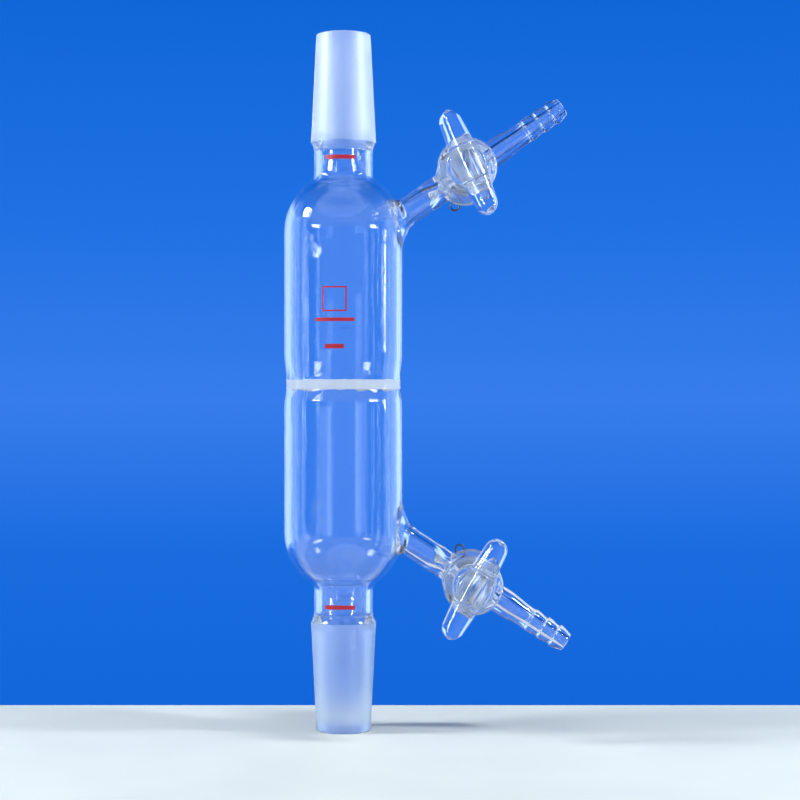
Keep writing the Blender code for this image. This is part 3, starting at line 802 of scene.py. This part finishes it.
def combined(first, second, operation):
    """first with a Boolean applied, as its new mesh. second is removed."""
    modifier = first.modifiers.new("combine", "BOOLEAN")
    modifier.operation = operation
    modifier.object = second
    modifier.solver = "EXACT"
    mesh = evaluated_mesh(first)
    first.modifiers.clear()
    first.data = mesh
    bpy.data.objects.remove(second)
    return first


BORE_REACH, BORE_COLUMNS = 12.0, 48  # the bore's cutter goes past the plug on both sides
TAPER_NEARNESS, TAPER_LEAN = 0.06, 0.2  # what a face of the ground taper keeps within


def make_key(side, materials):
    """The plug and the handle as one solid, divided where the handle's neck begins."""
    bore_profile = [(0.0, BORE_REACH), (PORT_R, BORE_REACH)]
    bore_profile += [(r, -z) for r, z in reversed(bore_profile)]
    plug = turned_solid(side + "_key_work", plug_profile(), RING_COLUMNS)
    bore = turned_solid(side + "_bore_work", bore_profile, BORE_COLUMNS)
    bore.rotation_euler = (0.0, math.pi / 2, 0.0)
    key = combined(combined(plug, bore, "DIFFERENCE"), make_bar(side + "_bar_work"), "UNION")
    mesh = key.data
    tags, looks = [], []
    for polygon in mesh.polygons:
        x, y, z = np.array(polygon.center) / MM
        off_taper = abs(math.hypot(x, y) - plug_radius(z))
        on_taper = off_taper < TAPER_NEARNESS and abs(polygon.normal.z) < TAPER_LEAN
        ground = GROUND_LOW < z < GROUND_TOP and on_taper
        looks.append(LOOKS.index("greased" if ground else "clear"))
        part = "_stopcock_handle" if z > KEY_HEAD_Z else "_stopcock_plug"
        tags.append(NODES.index(side + part))
    mesh.attributes.new("tag", "INT", "FACE").data.foreach_set("value", tags)
    mesh.polygons.foreach_set("material_index", looks)
    places = values(mesh.vertices, "co", width=3) @ key_axes(side) + CENTRES[side] * MM
    mesh.vertices.foreach_set("co", places.reshape(-1))
    mesh.update()
    mesh.shade_smooth()
    mesh.set_sharp_from_angle(angle=math.radians(KEY_SHARP_ANGLE))
    made = divide(mesh, materials, side + "_key")
    bpy.data.objects.remove(key)
    return made


# ---- trim ----


def make_ring(side, part, suffix, profile, material):
    """A ring turned about a key's axis from a closed profile of (radius, height)."""
    node = f"{side}_{part}"
    skin = Skin()
    points = Axis(*UPRIGHT).turned(profile + [profile[0]], RING_COLUMNS)
    skin.grid(CENTRES[side] + points @ key_axes(side), node)
    mesh = skin.to_mesh(f"{node}_{suffix}")
    mesh.attributes.remove(mesh.attributes["tag"])
    mesh.materials.append(material)
    return stand_for(show(mesh.name, mesh), node, side + "_key")


def washer_profile(top):
    low, edge = top - WASHER_THICKNESS, WASHER_EDGE_R
    profile = arc((WASHER_OUTER_R - edge, top - edge), edge, 90.0, 0.0, 3)
    profile += arc((WASHER_OUTER_R - edge, low + edge), edge, 0.0, -90.0, 3)
    profile += [(7.6, low), (7.45, low + 0.08), (7.3, low)]
    profile += arc((WASHER_INNER_R + edge, low + edge), edge, 270.0, 180.0, 3)
    return profile + arc((WASHER_INNER_R + edge, top - edge), edge, 180.0, 90.0, 3)


def clip_path(hand):
    """A wire in the key's groove that steps out past the ring and ends in a small eye."""
    outer_z = -BARREL_HALF_LENGTH - GAP - WASHER_THICKNESS - GAP - CLIP_WIRE_R
    path = [(CLIP_INNER_R, -450.0 + 5.0 * i, GROOVE_Z) for i in range(55)]
    for i in range(1, 12):
        share = i / 12
        height = GROOVE_Z + (outer_z - GROOVE_Z) * float(smooth((share - 0.5) / 0.5))
        radius = CLIP_INNER_R + (CLIP_OUTER_R - CLIP_INNER_R) * share
        path.append((radius, -180.0 + 16.0 * share, height))
    path += [(CLIP_OUTER_R, -163.0 + 3.0 * i, outer_z) for i in range(56)]
    path = [(*arc((0.0, 0.0), r, turn, turn, 0)[0], z) for r, turn, z in path]
    eye = arc((CLIP_OUTER_R + CLIP_EYE_R, 0.0), CLIP_EYE_R, 170.0, -120.0, 29)
    path += [(x, y, outer_z) for x, y in eye]
    return np.array([(x, hand * y, z) for x, y, z in path])


def make_clip(side, material):
    spec = VALVES[side]
    turn = math.radians(spec["eye"] - spec["handle"])
    spin = np.array([
        (math.cos(turn), math.sin(turn), 0.0), (-math.sin(turn), math.cos(turn), 0.0), (0, 0, 1),
    ])
    path = CENTRES[side] + clip_path(spec["hand"]) @ spin @ key_axes(side)
    node = side + "_retaining_clip"
    curve = bpy.data.curves.new(node + "_wire", "CURVE")
    curve.dimensions = "3D"
    curve.bevel_depth = CLIP_WIRE_R * MM
    curve.bevel_resolution = 4
    curve.use_fill_caps = True
    spline = curve.splines.new("POLY")
    spline.points.add(len(path) - 1)
    for point, co in zip(spline.points, path):
        point.co = (*(co * MM), 1.0)
    work = show(node + "_work", curve)
    mesh = evaluated_mesh(work)
    bpy.data.objects.remove(work)
    mesh.shade_smooth()
    mesh.materials.clear()
    mesh.materials.append(material)
    stand_for(show(node + "_wire", mesh), node, side + "_key")


DISC_SINK, DISC_EDGE_R = 0.35, 0.35
GRAINS, GRAIN_DEPTH = ((900.0, 1.0), (2100.0, 0.6)), 0.05


def make_disc(material):
    """The sintered disc: granular faces, and an edge sunk a little into the wall around it."""
    radius = BODY_R - WALL - PINCH_DEPTH + DISC_SINK
    half, edge = FRIT_THICKNESS / 2, DISC_EDGE_R
    rings = list(np.linspace(0.5, radius - 0.5, 40))
    profile = [(0.0, half)] + [(r, half) for r in rings]
    profile += arc((radius - edge, half - edge), edge, 75.0, -0.0, 4)
    profile += arc((radius - edge, edge - half), edge, 0.0, -75.0, 4)
    profile += [(r, -half) for r in reversed(rings)] + [(0.0, -half)]
    disc = turned_solid("sintered_disc", profile, BODY_COLUMNS)
    for vertex in disc.data.vertices:
        if math.hypot(vertex.co.x, vertex.co.y) < (radius - 0.4) * MM:
            grain = sum(share * noise.noise(vertex.co * scale) for scale, share in GRAINS)
            vertex.co.z += GRAIN_DEPTH * MM * grain
    disc.data.transform(Matrix.Translation((0.0, 0.0, FRIT_Z * MM)))
    disc.data.materials.append(material)
    stand_for(disc, "frit_disc", "glass_body")


# ---- generic enamel marks ----

# plain fired-on bars in place of the printed marks: height, angle round the tube from the front in
# degrees, width, height of the bar, line width for an outline or 0 for a solid bar
MARKS = {
    "upper_marking_frame": (158.0, -7.0, 9.0, 9.0, 0.55),
    "upper_marking_bar": (150.6, -7.0, 14.5, 1.3, 0.0),
    "upper_grade_bar": (141.0, -7.0, 7.0, 1.6, 0.0),
    "upper_joint_bar": (210.2, -5.0, 11.5, 1.5, 0.0),
    "lower_joint_bar": (46.2, -6.0, 11.5, 1.5, 0.0),
}
MARK_CELL = 0.6
MARK_LIFTS = (0.035, -0.02)  # above the glass and sunk into it, so that nothing shows under it


def make_marks(material):
    """Each mark follows the body's outside, necks included."""
    outside = np.array(sorted((z, r) for r, z in body_side(0.0, hole_rows(0)))).T
    for name, (z, turn, width, height, line) in MARKS.items():
        x, y = width / 2, height / 2
        panels = [(-x, x, -y, y)]
        if line:
            panels = [
                (-x, x, y - line, y), (-x, x, -y, -y + line),
                (-x, -x + line, -y + line, y - line), (x - line, x, -y + line, y - line),
            ]
        mark = bmesh.new()
        for left, right, low, high in panels:
            add_panel(mark, outside, math.radians(turn - 90.0), left, right, z + low, high - low)
        bmesh.ops.recalc_face_normals(mark, faces=mark.faces)
        piece = show(name, smooth_mesh(name, mark, SHARP_ANGLE, material))
        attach(piece, "glass_body")


def add_panel(mark, outside, front, left, right, low, height):
    """A film on the tube between two distances round it from the front, and its edges."""
    across, up = (max(2, round(size / MARK_CELL)) for size in (right - left, height))
    layers = []
    for lift in MARK_LIFTS:
        rows = []
        for i in range(up + 1):
            z = low + height * i / up
            radius = float(np.interp(z, *outside))
            turns = (
                front + (left + (right - left) * j / across) / radius for j in range(across + 1)
            )
            spread = radius + lift
            row = [(spread * math.cos(a) * MM, spread * math.sin(a) * MM, z * MM) for a in turns]
            rows.append([mark.verts.new(point) for point in row])
        layers.append(rows)
    top, under = layers
    for rows in layers:
        for i in range(up):
            for j in range(across):
                mark.faces.new((rows[i][j], rows[i][j + 1], rows[i + 1][j + 1], rows[i + 1][j]))
    for i in range(up):
        for j in (0, across):
            mark.faces.new((top[i][j], top[i + 1][j], under[i + 1][j], under[i][j]))
    for j in range(across):
        for i in (0, up):
            mark.faces.new((top[i][j], top[i][j + 1], under[i][j + 1], under[i][j]))


# ---- materials ----

ACROSS = (-math.pi / 2, 0.0, 0.0)  # turns local Z to the stopcocks' axis
EVEN, UNTURNED = (1.0, 1.0, 1.0), (0.0, 0.0, 0.0)
GLASS_IOR = 1.474


class Nodes:
    """A node tree and short ways to add to it."""

    def __init__(self, tree):
        self.tree = tree

    def feed(self, node, socket, value):
        """Links an output to the socket, or sets the socket's own value."""
        if isinstance(value, bpy.types.NodeSocket):
            self.tree.links.new(value, node.inputs[socket])
        else:
            node.inputs[socket].default_value = value

    def node(self, kind, *inputs, **named):
        """A node whose first inputs, and named settings and inputs, are given."""
        made = self.tree.nodes.new("ShaderNode" + kind)
        for key, value in named.items():
            if hasattr(made, key):
                setattr(made, key, value)
            else:
                self.feed(made, key.replace("_", " "), value)
        for index, value in enumerate(inputs):
            self.feed(made, index, value)
        return made

    def colours(self, source, *stops):
        ramp = self.node("ValToRGB", source)
        elements = ramp.color_ramp.elements
        while len(elements) < len(stops):
            elements.new(0.5)
        for element, (position, colour) in zip(elements, stops):
            element.position = position
            element.color = (*colour, 1.0)
        return ramp.outputs["Color"]


class Look(Nodes):
    """A Principled material and the nodes that feed it."""

    def __init__(self, name, **sockets):
        self.material = bpy.data.materials.new(name)
        self.material.use_nodes = True
        super().__init__(self.material.node_tree)
        self.set(**sockets)

    def set(self, **sockets):
        for socket, value in sockets.items():
            self.feed(self.tree.nodes["Principled BSDF"], socket.replace("_", " "), value)
        return self.material

    def coordinates(self, stretch=EVEN, turn=UNTURNED):
        """Coordinates that make a pattern longer by stretch along axes turned by turn."""
        place = self.node("TexCoord").outputs["Object"]
        mapping = self.node(
            "Mapping", vector_type="TEXTURE", Vector=place, Scale=stretch, Rotation=turn
        )
        return mapping.outputs["Vector"]

    def noise(self, vector, scale, detail=3.0, roughness=0.5):
        made = self.node(
            "TexNoise", Vector=vector, Scale=scale, Detail=detail, Roughness=roughness
        )
        return made.outputs["Fac"]

    def between(self, source, low, high):
        return self.node("MapRange", source, To_Min=low, To_Max=high).outputs["Result"]

    def bump(self, source, strength, distance, under=None):
        made = self.node("Bump", Height=source, Strength=strength, Distance=distance * MM)
        if under:
            self.feed(made, "Normal", under)
        return made.outputs["Normal"]


def clear_glass(name, turn, streaks=0.045):
    """Drawn borosilicate: fine streaks and slow swells along the tube, with a trace of haze."""
    look = Look(name, IOR=GLASS_IOR, Transmission_Weight=1.0, Base_Color=(0.995, 0.999, 0.998, 1.0))
    draw = look.noise(look.coordinates((1.0, 1.0, 33.0), turn), 700.0, 3.0, 0.6)
    wave = look.noise(look.coordinates((1.0, 1.0, 9.0), turn), 190.0, 2.0)
    swell = look.noise(look.coordinates(), 60.0, 1.0)
    haze = look.noise(look.coordinates(), 180.0, 4.0)
    normal = look.bump(draw, 0.7, streaks)
    normal = look.bump(wave, 0.3, 0.05, normal)
    normal = look.bump(swell, 0.15, 0.05, normal)
    return look.set(Roughness=look.between(haze, 0.0, 0.02), Normal=normal)


def ground_glass(name, clarity, roughness, tints, turn=UNTURNED):
    """A surface ground with grit: matt and pale, still letting light through, with turned rings."""
    look = Look(name, IOR=GLASS_IOR, Transmission_Weight=clarity)
    grain = look.noise(look.coordinates(), 5200.0, 4.0, 0.7)
    cloud = look.noise(look.coordinates((1.0, 1.0, 2.0), turn), 90.0, 3.0)
    rings = look.noise(look.coordinates((5.0, 5.0, 1.0), turn), 2600.0, 2.0)
    return look.set(
        Base_Color=look.colours(cloud, *zip((0.3, 0.7), tints)),
        Roughness=look.between(grain, *roughness),
        Normal=look.bump(rings, 0.12, 0.02, look.bump(grain, 0.35, 0.02)),
    )


# how much light goes through, the roughness of the finest and coarsest grains, and two tints
GROUND = {
    "upper_ground": (0.86, (0.34, 0.58), ((0.88, 0.915, 0.90), (0.955, 0.975, 0.95))),
    # the lower joint's tints are darker and bluer than the upper joint's: painted shade
    "lower_ground": (0.90, (0.25, 0.47), ((0.80, 0.87, 0.91), (0.88, 0.935, 0.96))),
    "greased": (0.93, (0.32, 0.60), ((0.92, 0.96, 0.965), (0.98, 0.995, 0.99)), ACROSS),
}


def glass_materials():
    """Every glass of the object. ACROSS and the arms' turns lay the pattern along the tube."""
    made = {"clear": clear_glass("body_borosilicate", UNTURNED)}
    made["stopcock_clear"] = clear_glass("stopcock_borosilicate", ACROSS)
    made["handle_clear"] = clear_glass("handle_borosilicate", ACROSS, 0.008)
    for side, spec in VALVES.items():
        turn = (0.0, math.radians(90.0 - spec["rise"]), 0.0)
        made[side + "_clear"] = clear_glass(side + "_arm_borosilicate", turn)
    for look, recipe in GROUND.items():
        made[look] = ground_glass(look + "_borosilicate", *recipe)
    return made


def sintered_glass():
    """Fused glass powder: bright white grains with fine dark pores between them."""
    look = Look("sintered_glass", IOR=GLASS_IOR, Specular_IOR_Level=0.35)
    place = look.coordinates()
    cells = look.node("TexVoronoi", feature="F1", Scale=2600.0, Vector=place)
    fine = look.noise(place, 4200.0, 4.0, 0.6)
    cloud = look.noise(place, 260.0, 3.0)
    mix = look.node("Mix", 0.55, data_type="RGBA", blend_type="MULTIPLY")
    look.feed(mix, 6, look.colours(cloud, (0.3, (0.93, 0.95, 0.95)), (0.7, (0.985, 0.99, 0.985))))
    look.feed(mix, 7, look.colours(fine, (0.28, (0.72, 0.74, 0.74)), (0.42, (1.0, 1.0, 1.0))))
    normal = look.bump(cells.outputs["Distance"], 0.5, 0.06)
    return look.set(
        Base_Color=mix.outputs[2], Roughness=look.between(fine, 0.75, 1.0),
        Normal=look.bump(fine, 0.4, 0.03, normal),
    )


def plain_look(name, cloud, stops, roughness, grain, bump, stretch=None, **sockets):
    """A tint and a gloss that vary with a cloudy noise, and a bump from a finer one.

    cloud and grain are (scale, detail), and without grain the bump follows the cloud.
    """
    look = Look(name, **sockets)
    place = look.coordinates()
    cloud = look.noise(place, *cloud)
    fine = look.noise(look.coordinates(stretch) if stretch else place, *grain) if grain else cloud
    return look.set(
        Base_Color=look.colours(cloud, *stops), Roughness=look.between(cloud, *roughness),
        Normal=look.bump(fine, *bump),
    )


PTFE = dict(
    name="white_ptfe", cloud=(350.0, 3.0), roughness=(0.60, 0.85), grain=(3000.0, 2.0),
    stops=((0.35, (0.88, 0.90, 0.90)), (0.65, (0.94, 0.95, 0.95))), bump=(0.2, 0.02),
    stretch=(1.0, 5.0, 1.0), IOR=1.35, Transmission_Weight=0.7,
)
RUBBER = dict(
    name="dark_rubber", cloud=(420.0, 4.0), roughness=(0.55, 0.8), grain=(3800.0, 3.0),
    stops=((0.3, (0.022, 0.022, 0.025)), (0.75, (0.06, 0.06, 0.062))), bump=(0.3, 0.02),
)
SPRING_STEEL = dict(
    name="tempered_spring_steel", cloud=(300.0, 3.0), roughness=(0.22, 0.42), grain=(5000.0, 2.0),
    stops=((0.3, (0.085, 0.062, 0.040)), (0.7, (0.17, 0.145, 0.12))), bump=(0.15, 0.01),
    Metallic=1.0,
)
RED_ENAMEL = dict(
    name="red_enamel", cloud=(2400.0, 3.0), roughness=(0.3, 0.5), grain=None,
    stops=((0.3, (0.34, 0.003, 0.010)), (0.7, (0.46, 0.006, 0.016))), bump=(0.2, 0.01),
)
PALE_FLOOR = dict(
    name="pale_floor", cloud=(14.0, 4.0), roughness=(0.50, 0.62), grain=(900.0, 4.0),
    stops=((0.3, (0.46, 0.46, 0.455)), (0.7, (0.50, 0.50, 0.495))), bump=(0.15, 0.05),
    Specular_IOR_Level=0.3,
)


# ---- stage ----

# the board's edges in millimetres, from the tube's axis and its lower end
FLOOR_LOW, FLOOR_HIGH, FLOOR_EDGE_R = (-600.0, -560.0, -30.0), (640.0, 60.0, 0.0), 2.0


def make_floor():
    """A plain pale board with rounded edges, ending a little behind the tube as in the photo."""
    board = bmesh.new()
    bmesh.ops.create_cube(board, size=1.0)
    for vertex in board.verts:
        for axis in range(3):
            vertex.co[axis] = (FLOOR_LOW if vertex.co[axis] < 0 else FLOOR_HIGH)[axis] * MM
    bmesh.ops.bevel(
        board, geom=board.edges[:], offset=FLOOR_EDGE_R * MM, segments=4, profile=0.5,
        affect="EDGES",
    )
    floor = show("floor", smooth_mesh("floor", board, material=plain_look(**PALE_FLOOR)))


def make_lamp(name, turn, rise, distance, width, height, brightness, colour, target=None):
    """A rectangular lamp. turn is its angle from the camera's side, to the right where positive."""
    turn, rise = math.radians(turn), math.radians(rise)
    level = math.cos(rise)
    way = Vector((math.sin(turn) * level, -math.cos(turn) * level, math.sin(rise)))
    data = bpy.data.lights.new(name, "AREA")
    data.shape = "ELLIPSE" if name in SOFT_LAMPS or name in ROUND_LAMPS else "RECTANGLE"
    data.size, data.size_y = width, height
    data.energy = brightness * math.pi * width * height
    data.color = colour
    lamp = show(name, data)
    lamp.location = Vector(target or LAMP_TARGET) + way * distance
    lamp.rotation_euler = (-way).to_track_quat("-Z", "Y").to_euler()
    lamp.visible_camera = False
    return lamp


# stops of colour from low to high in the world
BACKDROP = (
    (0.0, (0.002, 0.115, 0.65)), (0.35, (0.010, 0.15, 0.74)), (0.5, (0.038, 0.205, 0.84)),
    (0.68, (0.014, 0.165, 0.77)), (1.0, (0.001, 0.12, 0.64)),
)
THROUGH_GLASS = (
    (0.08, (0.006, 0.02, 0.06)), (0.20, (0.004, 0.125, 0.68)), (0.5, (0.038, 0.205, 0.84)),
    (0.80, (0.004, 0.13, 0.68)), (0.90, (0.006, 0.02, 0.06)),
)
FILL = (0.20, 0.26, 0.31, 1.0)


def make_world():
    """A plain blue backdrop where it is seen, darker overhead, and a dim room for reflections."""
    world = bpy.data.worlds.new("studio")
    bpy.context.scene.world = world
    world.use_nodes = True
    world.node_tree.nodes.clear()
    nodes = Nodes(world.node_tree)
    split = nodes.node("SeparateXYZ", nodes.node("TexCoord").outputs["Generated"])

    def background(stops, reach):
        height = nodes.node("MapRange", split.outputs["Z"], From_Min=-reach, From_Max=reach)
        colour = nodes.colours(height.outputs["Result"], *stops)
        return nodes.node("Background", colour).outputs[0]

    rays = nodes.node("LightPath").outputs
    fill = nodes.node("Background", FILL).outputs[0]
    through = background(THROUGH_GLASS, 1.0)
    mixed = nodes.node("MixShader", rays["Is Diffuse Ray"], through, fill).outputs[0]
    seen = background(BACKDROP, 0.25)
    mixed = nodes.node("MixShader", rays["Is Camera Ray"], mixed, seen).outputs[0]
    nodes.node("OutputWorld", mixed)


CAMERA_PLACE = (0.02085, -0.720, 0.1217)  # metres
SENSOR_WIDTH, FOCAL_LENGTH = 36.0, 87.8


def make_camera():
    """Level with the tube's middle and straight in front of it, as in the photograph."""
    data = bpy.data.cameras.new("camera")
    data.sensor_width = SENSOR_WIDTH
    data.lens = FOCAL_LENGTH
    camera = show("camera", data)
    camera.location = CAMERA_PLACE
    camera.rotation_euler = (math.pi / 2, 0.0, 0.0)
    bpy.context.scene.camera = camera


LAMP_TARGET = (0.02, 0.0, 0.13)
COOL, PLAIN = (0.78, 0.97, 1.0), (0.92, 1.0, 0.99)
# turn from the camera's side and rise in degrees, distance, width and height in metres,
# brightness and colour
LAMPS = {
    "left_panel": (-131.0, 4.0, 1.0, 1.05, 0.66, 0.64, COOL),
    "left_strip": (-102.0, 2.0, 1.0, 0.04, 0.70, 3.0, COOL),
    "left_line": (-82.0, 3.0, 1.0, 0.02, 0.60, 9.0, COOL),
    "left_spot": (-82.0, 31.5, 0.56, 0.11, 0.11, 105.0, PLAIN),
    "left_key": (-54.0, 12.1, 1.0, 0.24, 0.05, 34.0, PLAIN),
    "left_glow": (-39.0, -8.0, 1.0, 0.42, 0.30, 0.75, COOL),
    "left_glow_edge": (-27.0, -8.0, 1.0, 0.10, 0.30, 1.2, COOL),
    "left_high_glow": (-50.0, 6.0, 1.0, 0.05, 0.22, 2.0, COOL),
    "right_glow": (30.0, -6.0, 1.0, 0.20, 0.38, 0.9, COOL),
    "right_far_glow": (61.0, 0.0, 1.0, 0.04, 0.50, 3.0, COOL),
    "right_key": (62.0, 12.1, 1.0, 0.26, 0.05, 34.0, PLAIN),
    "right_spot": (76.0, 31.0, 0.52, 0.06, 0.10, 170.0, PLAIN),
    "right_line": (88.0, 5.0, 1.0, 0.04, 0.18, 42.0, PLAIN),
    "right_strip": (99.0, 0.0, 1.0, 0.05, 0.70, 3.2, COOL),
    "right_panel": (131.0, 4.0, 1.0, 1.05, 0.66, 0.76, COOL),
}
ROUND_LAMPS = {"front_glow": (0.0, 0.0, 1.0, 2.6, 1.3, 0.22, PLAIN)}
# small plain lamps for one piece each, which draw the lines of light on handles and necks: the
# node, the point that they shine at, in millimetres from the origin, and the lamp
GLINTS = {
    "upper_handle_glint": (
        "upper_stopcock_handle", (45.1, -33.5, 205.8), (-26.0, 1.0, 1.0, 0.07, 0.60, 160.0),
    ),
    "lower_handle_glint": (
        "lower_stopcock_handle", (47.3, -33.5, 54.7), (-50.0, 16.0, 1.0, 0.06, 0.60, 120.0),
    ),
    "lower_neck_left": ("lower_joint", (-4.6, -9.8, 47.1), (-50.0, -4.6, 0.4, 0.024, 0.03, 60.0)),
    "lower_neck_right": ("lower_joint", (3.4, -10.3, 49.0), (35.0, -5.4, 0.4, 0.022, 0.03, 90.0)),
    "upper_neck_left": ("upper_joint", (-4.6, -9.8, 209.0), (-50.0, 6.6, 0.4, 0.02, 0.04, 60.0)),
    "upper_neck_right": ("upper_joint", (3.4, -10.3, 210.0), (38.0, 5.4, 0.4, 0.03, 0.04, 90.0)),
}
# soft light from behind for the stopcocks alone, so that their ground tapers look milky
STOPCOCK_LAMPS = {
    "stopcock_left": (-118.0, 6.0, 0.7, 0.55, 0.60, 1.5, PLAIN),
    "stopcock_right": (118.0, 6.0, 0.7, 0.55, 0.60, 1.5, PLAIN),
}
STOPCOCK_PARTS = ("stopcock_barrel", "stopcock_plug", "washer")
# soft light that leaves no glare on the glass
SOFT_LAMPS = {
    "overhead": (0.0, 88.0, 1.0, 0.9, 0.7, 0.35, PLAIN),
    "front_fill": (-10.0, 60.0, 1.0, 1.7, 1.3, 0.65, PLAIN),
}


def light_only(lamp, lit_pieces):
    lit = bpy.data.collections.new(lamp.name + "_lit")
    for piece in lit_pieces:
        lit.objects.link(piece)
    lamp.light_linking.receiver_collection = lit


def make_stage(made):
    make_camera()
    make_world()
    make_floor()
    for name, lamp in (*LAMPS.items(), *ROUND_LAMPS.items()):
        make_lamp(name, *lamp)
    for name, (node, point, lamp) in GLINTS.items():
        light_only(make_lamp(name, *lamp, PLAIN, [value * MM for value in point]), [made[node]])
    stopcocks = [made[f"{side}_{part}"] for side in VALVES for part in STOPCOCK_PARTS]
    for name, lamp in STOPCOCK_LAMPS.items():
        light_only(make_lamp(name, *lamp), stopcocks)
    for name, lamp in SOFT_LAMPS.items():
        make_lamp(name, *lamp).visible_glossy = False


# ---- build ----

THROUGH_BOUNCES, GLOSSY_BOUNCES = 24, 12  # enough for light to leave the stopcocks again

materials = glass_materials()
fixed_glass = make_fixed_glass().to_mesh("fixed_glass", hand_worked)
pieces = divide(fixed_glass, materials, "glass_body")
make_disc(sintered_glass())
white, dark, steel = (plain_look(**recipe) for recipe in (PTFE, RUBBER, SPRING_STEEL))
washer_top = -BARREL_HALF_LENGTH - GAP
o_ring_z = washer_top - WASHER_THICKNESS - GAP - O_RING_WIRE_R
o_ring_profile = arc((O_RING_R, o_ring_z), O_RING_WIRE_R, 90.0, -260.0, 23)
for valve in VALVES:
    pieces.update(make_key(valve, materials))
    washer = make_ring(valve, "washer", "ring", washer_profile(washer_top), white)
    pieces[valve + "_washer"] = washer
    make_ring(valve, "o_ring", "seal", o_ring_profile, dark)
    make_clip(valve, steel)
make_marks(plain_look(**RED_ENAMEL))
make_stage(pieces)

scene = bpy.context.scene
scene.view_settings.view_transform = "Standard"
scene.cycles.max_bounces = scene.cycles.transmission_bounces = THROUGH_BOUNCES
scene.cycles.glossy_bounces = GLOSSY_BOUNCES
